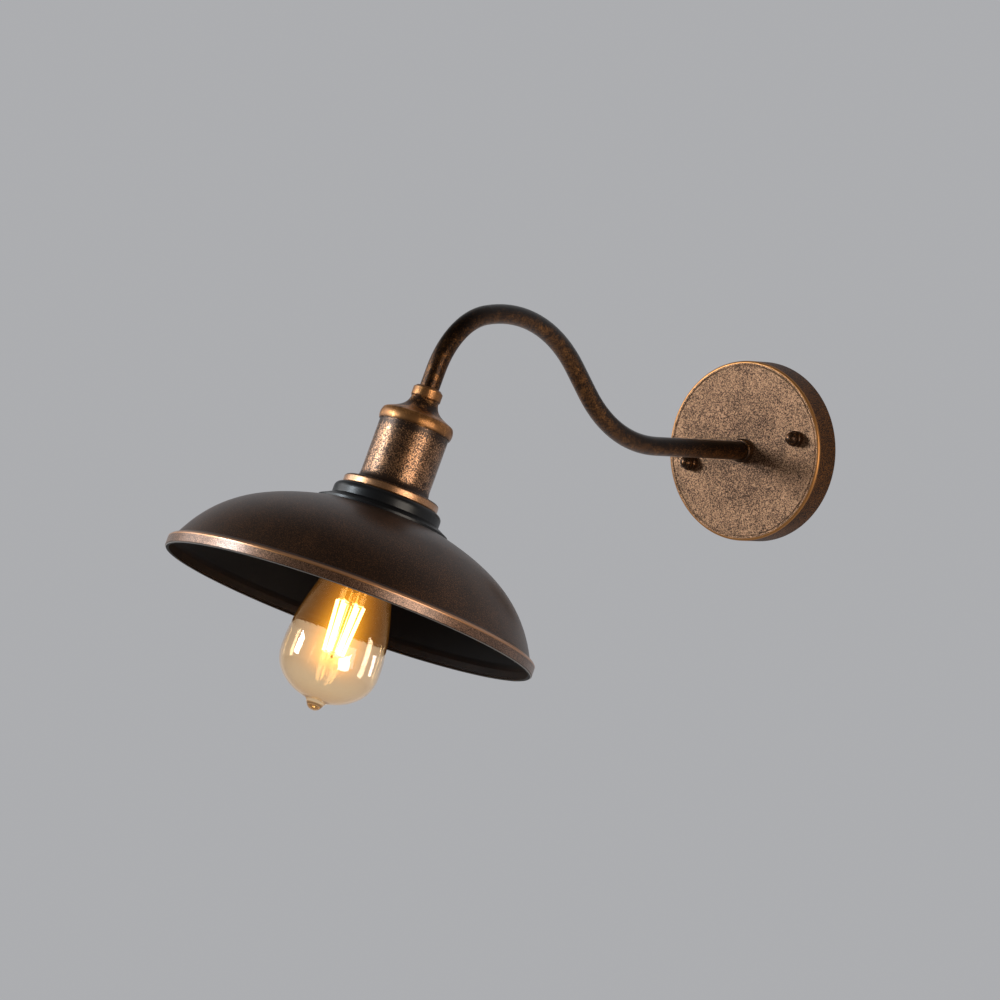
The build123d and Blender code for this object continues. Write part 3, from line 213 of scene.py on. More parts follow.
# %% [markdown]
# ## Light
#
# Six soft boxes do the lighting. A window-like one on the left throws the cap nuts' shadows to
# the right, and a fainter one beside it lights the left edges of all but the bulb's glass. A
# broad warm one stands on the right, and a weak warm one below, as light from a lit wall comes.
# The last two are linked to the bulb's glass alone: a tall strip draws the long pale line on it,
# and a square pane the white square. Linking keeps such strong mirrors off the dark metal.

# %% Six soft boxes
LAMP_MIDDLE = Vector((0, -0.28, -0.03))
BOX_DISTANCE = 2.2
up = Vector((0, 0, 1))


def soft_box(name, toward, size, power, colour=(1, 1, 1), seen_in_glass=False):
    """A rectangular light; toward is how far it stands to the camera's right, above and in front."""
    data = bpy.data.lights.new(name, "AREA")
    data.shape = "RECTANGLE"
    data.size, data.size_y = size
    data.energy = power
    data.color = colour
    light = bpy.data.objects.new(name, data)
    to_right, to_top, to_front = toward
    direction = (to_right * level_right + to_top * up + to_front * toward_camera).normalized()
    side = up.cross(direction).normalized()
    place = Matrix((side, direction.cross(side), direction)).transposed().to_4x4()
    place.translation = LAMP_MIDDLE + direction * BOX_DISTANCE
    light.matrix_world = place
    bpy.context.scene.collection.objects.link(light)
    light.visible_camera = False
    light.visible_transmission = seen_in_glass
    return light


soft_box("left_box", (-0.98, 0.14, 0.14), (0.55, 0.8), 42, (0.84, 0.93, 1), seen_in_glass=True)
left_edge_box = soft_box("left_edge_box", (-0.95, 0.15, -0.35), (1.2, 1.4), 15)
soft_box("right_box", (0.56, 0.05, 0.82), (1.2, 1.3), 26, (1, 0.91, 0.80))
right_strip = soft_box(
    "right_strip", (0.96, 0.32, -0.27), (0.46, 3.0), 46, (1, 0.96, 0.88), seen_in_glass=True)
window_pane = soft_box("window_pane", (0.47, -0.14, 0.87), (1.0, 1.1), 70)
soft_box("low_box", (0.05, -0.90, 0.30), (1.2, 1.0), 19, (1, 0.66, 0.36))

only_glass = bpy.data.collections.new("mirrors_two_windows")
all_but_glass = bpy.data.collections.new("lit_by_the_edge_box")
for name, solid in nodes.items():
    receivers = only_glass if name == "bulb_glass" else all_but_glass
    receivers.objects.link(solid)
right_strip.light_linking.receiver_collection = only_glass
window_pane.light_linking.receiver_collection = only_glass
left_edge_box.light_linking.receiver_collection = all_but_glass

# %% [markdown]
# ## Rulers for the finish
#
# The copper on this lamp is brightest on the raised rings, and painted shade darkens its
# hollows and the arm's upper side, so its finishes need to know where on the lamp they are. A
# small node group works that out from the position on the piece at rest, so the finish stays on
# the metal when the lamp is moved: the rise above the shade's mouth, and how far the surface
# faces outwards or upwards.

# %% A ruler on the head
def new_group(name, inputs, outputs):
    """A shader node group with named sockets, for values or colours."""
    kinds = {"value": "NodeSocketFloat", "colour": "NodeSocketColor"}
    group = bpy.data.node_groups.new(name, "ShaderNodeTree")
    for socket, kind, default in inputs:
        made = group.interface.new_socket(socket, in_out="INPUT", socket_type=kinds[kind])
        made.default_value = default
    for socket, kind in outputs:
        group.interface.new_socket(socket, in_out="OUTPUT", socket_type=kinds[kind])
    return group, add_node(group, "NodeGroupInput"), add_node(group, "NodeGroupOutput")


def vector_maths(tree, operation, first, second=None):
    """One Vector Math node. A dot product is a number, and the rest are vectors."""
    node = add_node(tree, "ShaderNodeVectorMath", operation=operation)
    give(tree, node.inputs[0], first)
    if second is not None:
        give(tree, node.inputs[1], second)
    return node.outputs["Value" if operation == "DOT_PRODUCT" else "Vector"]


def times(tree, vector, factor):
    """A vector times a number."""
    node = add_node(tree, "ShaderNodeVectorMath", operation="SCALE")
    give(tree, node.inputs[0], vector)
    give(tree, node.inputs["Scale"], factor)
    return node.outputs[0]


head_ruler, _, ruler_out = new_group(
    "head_ruler", [], [("Rise", "value"), ("Outward", "value"), ("Upward", "value")])
spot = add_node(head_ruler, "ShaderNodeTexCoord")
from_mouth = vector_maths(head_ruler, "SUBTRACT", spot.outputs["Object"], mouth_centre)
in_mm = times(head_ruler, from_mouth, 1 / MM)
rise = vector_maths(head_ruler, "DOT_PRODUCT", in_mm, head_up)
radial = vector_maths(head_ruler, "SUBTRACT", in_mm, times(head_ruler, head_up, rise))
radial_way = vector_maths(head_ruler, "NORMALIZE", radial)
readings = {
    "Rise": rise,
    "Outward": vector_maths(head_ruler, "DOT_PRODUCT", spot.outputs["Normal"], radial_way),
    "Upward": vector_maths(head_ruler, "DOT_PRODUCT", spot.outputs["Normal"], head_up)}
for name, reading in readings.items():
    head_ruler.links.new(reading, ruler_out.inputs[name])
print("head ruler reads", list(readings))

# %% [markdown]
# A second ruler serves the canopy. It gives the radius from the canopy's centre, and how far
# out from the wall a point is.

# %% A ruler on the wall
wall_ruler, _, ruler_out = new_group("wall_ruler", [], [("Radius", "value"), ("Out", "value")])
spot = add_node(wall_ruler, "ShaderNodeTexCoord")
parts = add_node(wall_ruler, "ShaderNodeSeparateXYZ")
wall_ruler.links.new(spot.outputs["Object"], parts.inputs[0])
x_squared = maths(wall_ruler, "MULTIPLY", parts.outputs["X"], parts.outputs["X"])
z_squared = maths(wall_ruler, "MULTIPLY", parts.outputs["Z"], parts.outputs["Z"])
from_centre = maths(wall_ruler, "SQRT", maths(wall_ruler, "ADD", x_squared, z_squared))
wall_ruler.links.new(maths(wall_ruler, "MULTIPLY", from_centre, 1 / MM), ruler_out.inputs["Radius"])
wall_ruler.links.new(maths(wall_ruler, "MULTIPLY", parts.outputs["Y"], -1 / MM), ruler_out.inputs["Out"])
print([group.name for group in bpy.data.node_groups])

# %% [markdown]
# A band picks out one ring: it is 1 between two heights, and fades over a soft edge. It is a
# group too, because several finishes use it, each with its own heights.

# %% Node group for a band
band, band_in, band_out = new_group(
    "band",
    [("Value", "value", 0.0), ("From", "value", 0.0), ("To", "value", 1.0), ("Soft", "value", 0.5)],
    [("Mask", "value")])
past = {}
for edge in ("From", "To"):
    low = maths(band, "SUBTRACT", band_in.outputs[edge], band_in.outputs["Soft"])
    high = maths(band, "ADD", band_in.outputs[edge], band_in.outputs["Soft"])
    past[edge] = smooth_step(band, band_in.outputs["Value"], low, high)
short_of_end = maths(band, "SUBTRACT", 1.0, past["To"])
band.links.new(maths(band, "MULTIPLY", past["From"], short_of_end), band_out.inputs["Mask"])
print("band takes", [socket.name for socket in band_in.outputs][:-1])

# %% [markdown]
# ## Copper dust
#
# The speckle is sprayed on: countless flakes well under a millimetre across, lying closer
# together in some clouds than in others. Two layers of noise give it. A fine one is cut off at
# a level, which leaves flakes with irregular edges, and a coarse one moves that level up and
# down, which makes the clouds. The group puts out the flakes as a mask, a slow tone that shifts
# the copper's colour, and a height for a slight roughness to the touch.

# %% Node group for the dust
LEVEL_WITHOUT_COVER = 0.86
LEVEL_DROP = 0.72        # from no cover to full cover

copper_dust, dust_in, dust_out = new_group(
    "copper_dust",
    [("Grain", "value", 0.8), ("Cover", "value", 0.5), ("Softness", "value", 0.12),
     ("Clouds", "value", 0.1), ("Cloud size", "value", 18.0)],
    [("Flakes", "value"), ("Tone", "value"), ("Height", "value")])


def noise(tree, coordinates, size, detail, roughness):
    """Noise whose features are about size millimetres across, centred on 0.5."""
    texture = add_node(tree, "ShaderNodeTexNoise")
    texture.inputs["Detail"].default_value = detail
    texture.inputs["Roughness"].default_value = roughness
    tree.links.new(coordinates, texture.inputs["Vector"])
    tree.links.new(maths(tree, "DIVIDE", 1 / MM, size), texture.inputs["Scale"])
    return texture.outputs[0]


on_piece = add_node(copper_dust, "ShaderNodeTexCoord").outputs["Object"]
fine = noise(copper_dust, on_piece, dust_in.outputs["Grain"], 2.0, 0.65)
coarse = noise(copper_dust, on_piece, dust_in.outputs["Cloud size"], 2.0, 0.5)
cloud_depth = maths(copper_dust, "MULTIPLY", dust_in.outputs["Clouds"], 4.0)
cloud = maths(copper_dust, "MULTIPLY", maths(copper_dust, "SUBTRACT", coarse, 0.5), cloud_depth)
drop = maths(copper_dust, "MULTIPLY", dust_in.outputs["Cover"], LEVEL_DROP)
even_level = maths(copper_dust, "SUBTRACT", LEVEL_WITHOUT_COVER, drop)
level = maths(copper_dust, "SUBTRACT", even_level, cloud)
low = maths(copper_dust, "SUBTRACT", level, dust_in.outputs["Softness"])
high = maths(copper_dust, "ADD", level, dust_in.outputs["Softness"])
copper_dust.links.new(smooth_step(copper_dust, fine, low, high), dust_out.inputs["Flakes"])
copper_dust.links.new(coarse, dust_out.inputs["Tone"])
copper_dust.links.new(fine, dust_out.inputs["Height"])
print("dust takes", [socket.name for socket in dust_in.outputs][:-1])

# %% [markdown]
# ## The antique copper finishes
#
# Every sprayed piece has the same three layers: brown-black paint with a low sheen, copper flakes
# that shine like metal, and rubbed copper where a band says so. The helpers here set or link a
# node's inputs by name, mix two colours or values by a mask, and put a material on solids.

# %% Helpers that mix and place
def mix_colour(tree, factor, first, second):
    """A colour mix; each colour is a value or another node's output."""
    node = add_node(tree, "ShaderNodeMix", data_type="RGBA")
    for index, given in ((0, factor), (6, first), (7, second)):
        give(tree, node.inputs[index], given)
    return node.outputs[2]


def mix_value(tree, factor, first, second):
    """A value between two ends by a mask."""
    node = add_node(tree, "ShaderNodeMix", data_type="FLOAT")
    for index, given in ((0, factor), (2, first), (3, second)):
        give(tree, node.inputs[index], given)
    return node.outputs[0]


def feed(tree, node, **given):
    """Set or link a node's inputs by name; an underscore stands for a space."""
    for name, value in given.items():
        give(tree, node.inputs[name.replace("_", " ")], value)


def place_group(tree, group, **given):
    """Place a node group, with its own values on its inputs."""
    node = add_node(tree, "ShaderNodeGroup", node_tree=group)
    feed(tree, node, **given)
    return node


def any_band(tree, value, bands):
    """The brightest of several bands; each is (from, to, soft, strength)."""
    mask = 0.0
    for low, high, soft, strength in bands:
        ring = place_group(tree, band, Value=value, From=low, To=high, Soft=soft).outputs["Mask"]
        mask = maths(tree, "MAXIMUM", mask, maths(tree, "MULTIPLY", ring, strength))
    return mask


def new_finish(name):
    """A material with a bare Principled shader."""
    material = bpy.data.materials.new(name)
    material.use_nodes = True
    return material, material.node_tree, material.node_tree.nodes["Principled BSDF"]


def add_relief(tree, shader, height, strength, depth):
    """Bend the normal by a height map that is depth millimetres deep."""
    relief = add_node(tree, "ShaderNodeBump")
    feed(tree, relief, Strength=strength, Distance=depth * MM, Height=height)
    tree.links.new(relief.outputs[0], shader.inputs["Normal"])


def dress(material, *node_names):
    """Give solids a material."""
    for node_name in node_names:
        mesh = nodes[node_name].data
        mesh.materials.clear()
        mesh.materials.append(material)
    print(material.name, "on", ", ".join(node_names))


print("helpers for", len(nodes), "pieces")

# %% [markdown]
# One function builds such a material. It takes the paint's colour, the flakes' grain and cover,
# and lists of bands. It mixes colour, metal and roughness from the same mask, so that a flake is
# bright, metallic and smooth all at once. The paint counts as partly metal itself, so that what
# it mirrors is brown and not grey. A thin lacquer lies mostly on the flakes, which makes them
# sparkle white.

# %% A function for antique copper
PAINT_BROWN = (0.034, 0.0165, 0.0085, 1)
PAINT_METAL = 0.7
COPPER = (0.60, 0.265, 0.085, 1)
RUBBED_COPPER = (0.54, 0.225, 0.06, 1)
# A band of dust and painted sheen adds this much dust, and a band of painted shade takes it away.
BAND_COVER_SHIFT = 0.35        # how much dust a worn band adds, or a hollow takes away
GRIT = 0.15              # mm


def antique_copper(name, grain, cover, ruler=None, axis="Rise", rubbed=(), dust_and_sheen=(), painted_shade=(),
                   paint=PAINT_BROWN, copper=COPPER, softness=0.10, clouds=0.10, cloud_size=18.0,
                   paint_rough=0.40, flake_rough=0.38, bump=0.40, lacquer=0.06):
    """Paint, flakes and rubbed bands. Dust-and-sheen bands add dust; painted-shade bands take it away.
    """
    material, tree, shader = new_finish(name)
    rubbed_mask, dust_and_sheen_mask, painted_shade_mask = 0.0, 0.0, 0.0
    if ruler:
        where = place_group(tree, ruler).outputs[axis]
        rubbed_mask = any_band(tree, where, rubbed)
        dust_and_sheen_mask = any_band(tree, where, dust_and_sheen)
        painted_shade_mask = any_band(tree, where, painted_shade)
    dust_and_sheen_less_shade = maths(tree, "SUBTRACT", dust_and_sheen_mask, painted_shade_mask)
    thick = maths(tree, "ADD", cover, maths(tree, "MULTIPLY", dust_and_sheen_less_shade, BAND_COVER_SHIFT))
    dust = place_group(tree, copper_dust, Grain=grain, Cover=thick, Softness=softness, Clouds=clouds,
                       Cloud_size=cloud_size).outputs
    patchy = maths(tree, "MULTIPLY", rubbed_mask, mix_value(tree, dust["Flakes"], 0.62, 1.0))
    metal = maths(tree, "MAXIMUM", dust["Flakes"], patchy, clamp=True)
    flake_colour = mix_colour(tree, dust["Tone"], copper, RUBBED_COPPER)
    lacquered = maths(tree, "MULTIPLY", mix_value(tree, metal, 0.12, 1.0), lacquer)
    feed(tree, shader,
         Base_Color=mix_colour(tree, metal, paint, flake_colour),
         Metallic=mix_value(tree, metal, PAINT_METAL, 0.94),
         Roughness=mix_value(tree, metal, paint_rough, flake_rough),
         Specular_IOR_Level=0.25,
         Coat_Weight=lacquered, Coat_Roughness=0.34, Coat_IOR=1.9)
    add_relief(tree, shader, dust["Height"], bump, GRIT)
    return material


print("paint", PAINT_BROWN[:3], "copper", COPPER[:3])

# %% [markdown]
# The socket cup is the most heavily dusted piece. Its foot flange is rubbed to plain copper, and
# painted shade darkens the cup just above the flange and under the cap. The cap above it is
# rubbed on its ring and collar, and has painted shade in the hollow of the bell. Each band below
# gives two rises in millimetres, a soft edge and a strength.

# %% Socket cup, cap and the collar at the wall
FOOT_FLANGE = (74.6, 79.2)
ABOVE_FLANGE = (79.8, 84.5)
UNDER_CAP = (117.0, 122.0)
CAP_RING = (122.0, 129.0)
OVER_RING = (128.0, 132.0)
BELL_HOLLOW = (133.5, 141.0)
CAP_COLLAR = (142.0, 149.0)

sleeve_finish = antique_copper(
    "speckled_sleeve", grain=0.74, cover=0.43, ruler=head_ruler,
    rubbed=[(*FOOT_FLANGE, 0.5, 1.0)],
    # painted shade: the cup is darkened just above the flange and under the cap
    painted_shade=[(*ABOVE_FLANGE, 2.5, 0.7), (*UNDER_CAP, 2.5, 0.5)],
    clouds=0.05, cloud_size=8.0, flake_rough=0.31, paint_rough=0.37, bump=0.7, lacquer=1.0)
cap_finish = antique_copper(
    "rubbed_cap", grain=0.6, cover=0.36, ruler=head_ruler,
    rubbed=[(*CAP_RING, 1.4, 0.72), (*CAP_COLLAR, 0.8, 0.6)],
    dust_and_sheen=[(*OVER_RING, 2.0, 0.8)],
    # painted shade in the hollow of the bell
    painted_shade=[(*BELL_HOLLOW, 1.5, 0.15)],
    clouds=0.20, cloud_size=5.0, bump=0.6, lacquer=0.20)
collar_finish = antique_copper("dark_collar", grain=0.6, cover=0.30, clouds=0.12)
dress(sleeve_finish, "socket_sleeve")
dress(cap_finish, "socket_cap")
dress(collar_finish, "root_collar")

# %% [markdown]
# The arm is dusted lightly, in clouds. Painted shade keeps its upper side almost black, and a
# painted sheen lightens its underside, made by thinning and thickening the dust. Its bands run
# along the way that the surface faces, from -1 for straight down to 1 for straight up. The cap
# nuts are dark with a little wear.

# %% Arm and cap nuts
# painted shade on the upper side, and a painted sheen on the underside
FACING_UP = (0.30, 1.40)
FACING_DOWN = (-1.40, -0.20)

arm_finish = antique_copper(
    "dusted_arm", grain=0.55, cover=0.35, ruler=head_ruler, axis="Upward",
    painted_shade=[(*FACING_UP, 0.40, 0.5)],
    dust_and_sheen=[(*FACING_DOWN, 0.30, 0.15)],
    softness=0.15, clouds=0.06, cloud_size=5.0, paint=(0.011, 0.0058, 0.0034, 1),
    copper=(0.31, 0.124, 0.045, 1), paint_rough=0.32, flake_rough=0.36, lacquer=0.03)
nut_finish = antique_copper(
    "dark_nut", grain=0.6, cover=0.32, clouds=0.08, cloud_size=3.0,
    copper=(0.36, 0.16, 0.075, 1), paint_rough=0.32)
dress(arm_finish, "arm_tube")
dress(nut_finish, "cap_nuts")

# %% [markdown]
# The canopy's face is the reverse: mostly copper, with the dark paint showing through in fine
# pits. The bead at its edge is rubbed bright. The side has sparser, darker grains, partly its
# own browner colour and partly painted shade. A painted shadow darkens the face towards the
# arm's root, where its dust is thinned a little.

# %% Canopy
FACE_OUT = (17.9, 18.7)      # mm from the wall, where the side turns into the face
BEAD_RADIUS = (58.5, 61.0)
ROOT_SHADOW_REACH = (52.0, 8.0)     # radii where the dust starts to thin and where it is thinnest
FACE_PITS = (0.043, 0.022, 0.012, 1)
# the side's grains are darker, partly their own browner colour and partly painted shade
SIDE_GRAINS = (0.34, 0.12, 0.02, 1)
FACE_GRAINS = (0.36, 0.198, 0.110, 1)

canopy_finish, tree, shader = new_finish("pitted_canopy")
ruler = place_group(tree, wall_ruler).outputs
in_front = smooth_step(tree, ruler["Out"], *FACE_OUT)
at_edge = any_band(tree, ruler["Radius"], [(*BEAD_RADIUS, 0.3, 1.0)])
bead = maths(tree, "MULTIPLY", in_front, at_edge)
# painted shadow by the arm's root: the face's dust thins towards it
root_shadow = smooth_step(tree, ruler["Radius"], *ROOT_SHADOW_REACH)
face_cover = maths(tree, "SUBTRACT", 0.49, maths(tree, "MULTIPLY", root_shadow, 0.08))
# the side takes sparser dust than the face, partly its own look and partly painted shade
thick = mix_value(tree, in_front, 0.40, face_cover)
dust = place_group(tree, copper_dust, Grain=0.70, Cover=thick, Softness=0.15, Clouds=0.035,
                   Cloud_size=14.0).outputs
metal = maths(tree, "MAXIMUM", dust["Flakes"], maths(tree, "MULTIPLY", bead, 0.85), clamp=True)
pits = mix_colour(tree, in_front, PAINT_BROWN, FACE_PITS)
grains = mix_colour(tree, in_front, SIDE_GRAINS, FACE_GRAINS)
pit_metal = mix_value(tree, in_front, PAINT_METAL, 0.25)
feed(tree, shader,
     Base_Color=mix_colour(tree, metal, pits, mix_colour(tree, bead, grains, COPPER)),
     Metallic=mix_value(tree, metal, pit_metal, 0.85),
     Roughness=mix_value(tree, metal, 0.56, mix_value(tree, bead, 0.46, 0.34)),
     Specular_IOR_Level=0.12)
add_relief(tree, shader, dust["Height"], 0.35, GRIT)
dress(canopy_finish, "canopy")

# %% [markdown]
# The shade is one sheet with three looks. Outside, the dome is black-brown with fine dust, the
# band at its rim has more and paler flakes, the ridge is rubbed, and the lip carries a painted
# highlight of pale metal. The two steps at the top are satin black, and the inside is a duller
# black. The way the surface faces tells inside from outside, and the rise tells the rest. This
# cell makes the masks.

# %% Where on the shade
STEPS_FOOT = (60.6, 61.4)
RIDGE = (4.5, 6.7)
RIM_BAND = (-2.0, 6.4)
LIP = (-3.0, -1.05)

shade_finish, tree, shader = new_finish("dusted_shade")
ruler = place_group(tree, head_ruler).outputs
outside = smooth_step(tree, maths(tree, "ADD", ruler["Outward"], ruler["Upward"]), -0.05, 0.05)
below_steps = maths(tree, "SUBTRACT", 1.0, smooth_step(tree, ruler["Rise"], *STEPS_FOOT))
ridge = maths(tree, "MULTIPLY", outside, any_band(tree, ruler["Rise"], [(*RIDGE, 0.4, 0.9)]))
# the lip: a painted highlight, given as pale metal
lip_highlight = any_band(tree, ruler["Rise"], [(*LIP, 0.2, 0.9)])
on_band = any_band(tree, ruler["Rise"], [(*RIM_BAND, 0.4, 1.0)])
dusted = maths(tree, "MAXIMUM", outside, maths(tree, "MULTIPLY", on_band, 0.05))
thick = maths(tree, "ADD", 0.33, maths(tree, "MULTIPLY", on_band, 0.06))
blurred = mix_value(tree, on_band, 0.16, 0.26)
dust = place_group(tree, copper_dust, Grain=0.62, Cover=thick, Softness=blurred, Clouds=0.045,
                   Cloud_size=22.0).outputs
metal = maths(tree, "MAXIMUM", dust["Flakes"], maths(tree, "MAXIMUM", ridge, lip_highlight))
metal = maths(tree, "MULTIPLY", metal, maths(tree, "MULTIPLY", dusted, below_steps), clamp=True)
print("shade masks take", len(tree.nodes), "nodes")

# %% [markdown]
# The masks now pick the colours. The flakes are redder and darker on the dome than on the band,
# and the lip at the very edge is pale metal, a painted highlight. The black steps take no
# flakes, and the inside takes next to none.

# %% What the shade looks like there
DOME_FLAKES = (0.27, 0.116, 0.047, 1)
BAND_FLAKES = (0.42, 0.20, 0.10, 1)
LIP_HIGHLIGHT_METAL = (0.86, 0.81, 0.75, 1)
RIDGE_COPPER = (0.54, 0.21, 0.04, 1)
STEP_BLACK = (0.006, 0.006, 0.0065, 1)
INSIDE_BLACK = (0.0038, 0.0028, 0.0024, 1)

flakes = mix_colour(tree, on_band, DOME_FLAKES, BAND_FLAKES)
flake_colour = mix_colour(tree, ridge, mix_colour(tree, lip_highlight, flakes, LIP_HIGHLIGHT_METAL), RIDGE_COPPER)
dome_paint = mix_colour(tree, below_steps, STEP_BLACK, PAINT_BROWN)
paint = mix_colour(tree, outside, INSIDE_BLACK, dome_paint)
paint_metal = maths(tree, "MULTIPLY", outside, maths(tree, "MULTIPLY", below_steps, PAINT_METAL))
on_flakes = mix_value(tree, metal, 0.30, 1.0)
glossy = mix_value(tree, below_steps, 0.22, mix_value(tree, on_band, 0.28, on_flakes))
feed(tree, shader,
     Base_Color=mix_colour(tree, metal, paint, flake_colour),
     Metallic=mix_value(tree, metal, paint_metal, 0.9),
     Roughness=mix_value(tree, metal, mix_value(tree, outside, 0.62, 0.42), 0.42),
     Specular_IOR_Level=0.12,
     Coat_Weight=maths(tree, "MULTIPLY", outside, glossy), Coat_Roughness=0.30, Coat_IOR=1.8)
add_relief(tree, shader, dust["Height"], 0.15, 0.1)
dress(shade_finish, "shade")

# %% [markdown]
# ## Bare metal
#
# What the canopy and the cup hide is ordinary fitting hardware: zinc plate with a faint bluish
# cloudiness, brass that is duller in patches, a nickel-plated shell, and a drop of solder. Four
# metals share one kind of unevenness, so it is a node group: patches that are duller in colour
# and rougher, and a fine grain.

# %% Node group and function for plated metals
plate_wear, wear_in, wear_out = new_group(
    "plate_wear",
    [("Bright", "colour", (0.7, 0.7, 0.7, 1)), ("Dull", "colour", (0.5, 0.5, 0.5, 1)),
     ("Rough", "value", 0.3), ("Patch size", "value", 5.0), ("Grain", "value", 0.5)],
    [("Colour", "colour"), ("Roughness", "value"), ("Height", "value")])
on_piece = add_node(plate_wear, "ShaderNodeTexCoord").outputs["Object"]
drift = noise(plate_wear, on_piece, wear_in.outputs["Patch size"], 3.0, 0.6)
patches = smooth_step(plate_wear, drift, 0.40, 0.62)
rougher = maths(plate_wear, "ADD", wear_in.outputs["Rough"], 0.16)
feed(plate_wear, wear_out,
     Colour=mix_colour(plate_wear, patches, wear_in.outputs["Bright"], wear_in.outputs["Dull"]),
     Roughness=mix_value(plate_wear, patches, wear_in.outputs["Rough"], rougher),
     Height=noise(plate_wear, on_piece, wear_in.outputs["Grain"], 2.0, 0.6))


def plated(name, bright, dull, rough, patch_size, grain, bump=0.2):
    """Bare metal whose colour and roughness drift between a bright and a dull state."""
    material, tree, shader = new_finish(name)
    wear = place_group(tree, plate_wear, Bright=bright, Dull=dull, Rough=rough,
                       Patch_size=patch_size, Grain=grain).outputs
    feed(tree, shader, Base_Color=wear["Colour"], Roughness=wear["Roughness"], Metallic=1.0)
    add_relief(tree, shader, wear["Height"], bump, 0.05)
    return material


zinc = plated("zinc_plate", (0.62, 0.64, 0.66, 1), (0.48, 0.50, 0.51, 1), 0.30, 6.0, 0.5)
brass = plated("bare_brass", (0.78, 0.58, 0.27, 1), (0.58, 0.42, 0.20, 1), 0.26, 4.0, 0.4)
nickel = plated("nickel_plate", (0.70, 0.66, 0.58, 1), (0.55, 0.50, 0.43, 1), 0.18, 5.0, 0.4)
solder = plated("dull_solder", (0.55, 0.55, 0.56, 1), (0.40, 0.40, 0.41, 1), 0.42, 1.5, 0.6, bump=0.5)
dress(zinc, "mounting_strap", "strap_studs", "stud_nuts", "earth_washer", "block_fixing_screw",
      "root_nipple", "root_washer", "root_spring_washer", "root_lock_nut", "end_nipple",
      "cap_lock_nut", "bracket_lock_nuts", "holder_bracket", "bracket_screws")
dress(brass, "terminal_barrels", "terminal_block_screws", "holder_terminals",
      "holder_terminal_screws", "contact_rivets", "centre_contact", "earth_screw")
dress(nickel, "screw_shell", "bulb_base_shell")
dress(solder, "bulb_tip_contact")

# %% [markdown]
# ## Ceramic, plastic and black glass
#
# Porcelain is off-white with tiny darker specks and a slightly uneven skin. The plastics differ
# only in colour and sheen: the terminal block is moulded white, the ring nut is black phenolic
# with a fine grain, and the wires' insulation is smooth. Specks and skin are a group again.

# %% Node group and function for moulded pieces
moulded_skin, skin_in, skin_out = new_group(
    "moulded_skin",
    [("Colour", "colour", (0.8, 0.8, 0.8, 1)), ("Specks", "colour", (0.7, 0.7, 0.7, 1)),
     ("Rough", "value", 0.4), ("Speck size", "value", 2.0), ("Skin size", "value", 1.0)],
    [("Colour", "colour"), ("Roughness", "value"), ("Height", "value")])
on_piece = add_node(moulded_skin, "ShaderNodeTexCoord").outputs["Object"]
spots = noise(moulded_skin, on_piece, skin_in.outputs["Speck size"], 2.0, 0.6)
specks = smooth_step(moulded_skin, spots, 0.52, 0.70)
skin = noise(moulded_skin, on_piece, skin_in.outputs["Skin size"], 2.0, 0.5)
smoother = maths(moulded_skin, "SUBTRACT", skin_in.outputs["Rough"], 0.06)
rougher = maths(moulded_skin, "ADD", skin_in.outputs["Rough"], 0.06)
feed(moulded_skin, skin_out,
     Colour=mix_colour(moulded_skin, specks, skin_in.outputs["Colour"], skin_in.outputs["Specks"]),
     Roughness=mix_value(moulded_skin, skin, smoother, rougher),
     Height=skin)


def moulded(name, colour, speck_colour, rough, speck_size, skin_size, bump, coat=0.0):
    """A non-metal with faint specks and an uneven skin."""
    material, tree, shader = new_finish(name)
    surface = place_group(tree, moulded_skin, Colour=colour, Specks=speck_colour, Rough=rough,
                          Speck_size=speck_size, Skin_size=skin_size).outputs
    feed(tree, shader, Base_Color=surface["Colour"], Roughness=surface["Roughness"],
         Coat_Weight=coat, Coat_Roughness=0.12)
    add_relief(tree, shader, surface["Height"], bump, 0.08)
    return material


porcelain = moulded(
    "porcelain", (0.80, 0.76, 0.68, 1), (0.66, 0.61, 0.53, 1),
    rough=0.48, speck_size=1.2, skin_size=0.9, bump=0.35, coat=0.25)
block_white = moulded(
    "moulded_white", (0.78, 0.77, 0.73, 1), (0.70, 0.69, 0.65, 1),
    rough=0.46, speck_size=2.0, skin_size=0.6, bump=0.25)
phenolic = moulded(
    "black_phenolic", (0.020, 0.018, 0.017, 1), (0.045, 0.040, 0.036, 1),
    rough=0.40, speck_size=0.9, skin_size=0.5, bump=0.30)
live_black = moulded(
    "live_insulation", (0.018, 0.018, 0.019, 1), (0.028, 0.028, 0.029, 1),
    rough=0.38, speck_size=3.0, skin_size=1.2, bump=0.15)
neutral_white = moulded(
    "neutral_insulation", (0.76, 0.75, 0.71, 1), (0.66, 0.65, 0.61, 1),
    rough=0.38, speck_size=3.0, skin_size=1.2, bump=0.15)
black_glass = moulded(
    "black_glass_insulator", (0.012, 0.012, 0.014, 1), (0.022, 0.021, 0.024, 1),
    rough=0.16, speck_size=2.5, skin_size=1.8, bump=0.10, coat=0.6)
dress(porcelain, "lampholder_body")
dress(block_white, "terminal_block")
dress(phenolic, "shade_ring")
dress(live_black, "live_wire", "live_pigtail")
dress(neutral_white, "neutral_wire", "neutral_pigtail")
dress(black_glass, "bulb_base_insulator")

# %% [markdown]
# ## The bulb's glass
#
# The glass is amber: a tint at each surface, which is deeper at the tip and where the wall is
# crossed at a slant. In the photograph the glass also shines a little by itself, most where it
# passes in front of the sticks. Scattering inside the glass would be one way to get that. Here
# a thin veil of glow is painted into the glass instead, which is simple to steer by height, with
# a halo and a brighter core round the sticks. It is strongest where the glass faces the onlooker.

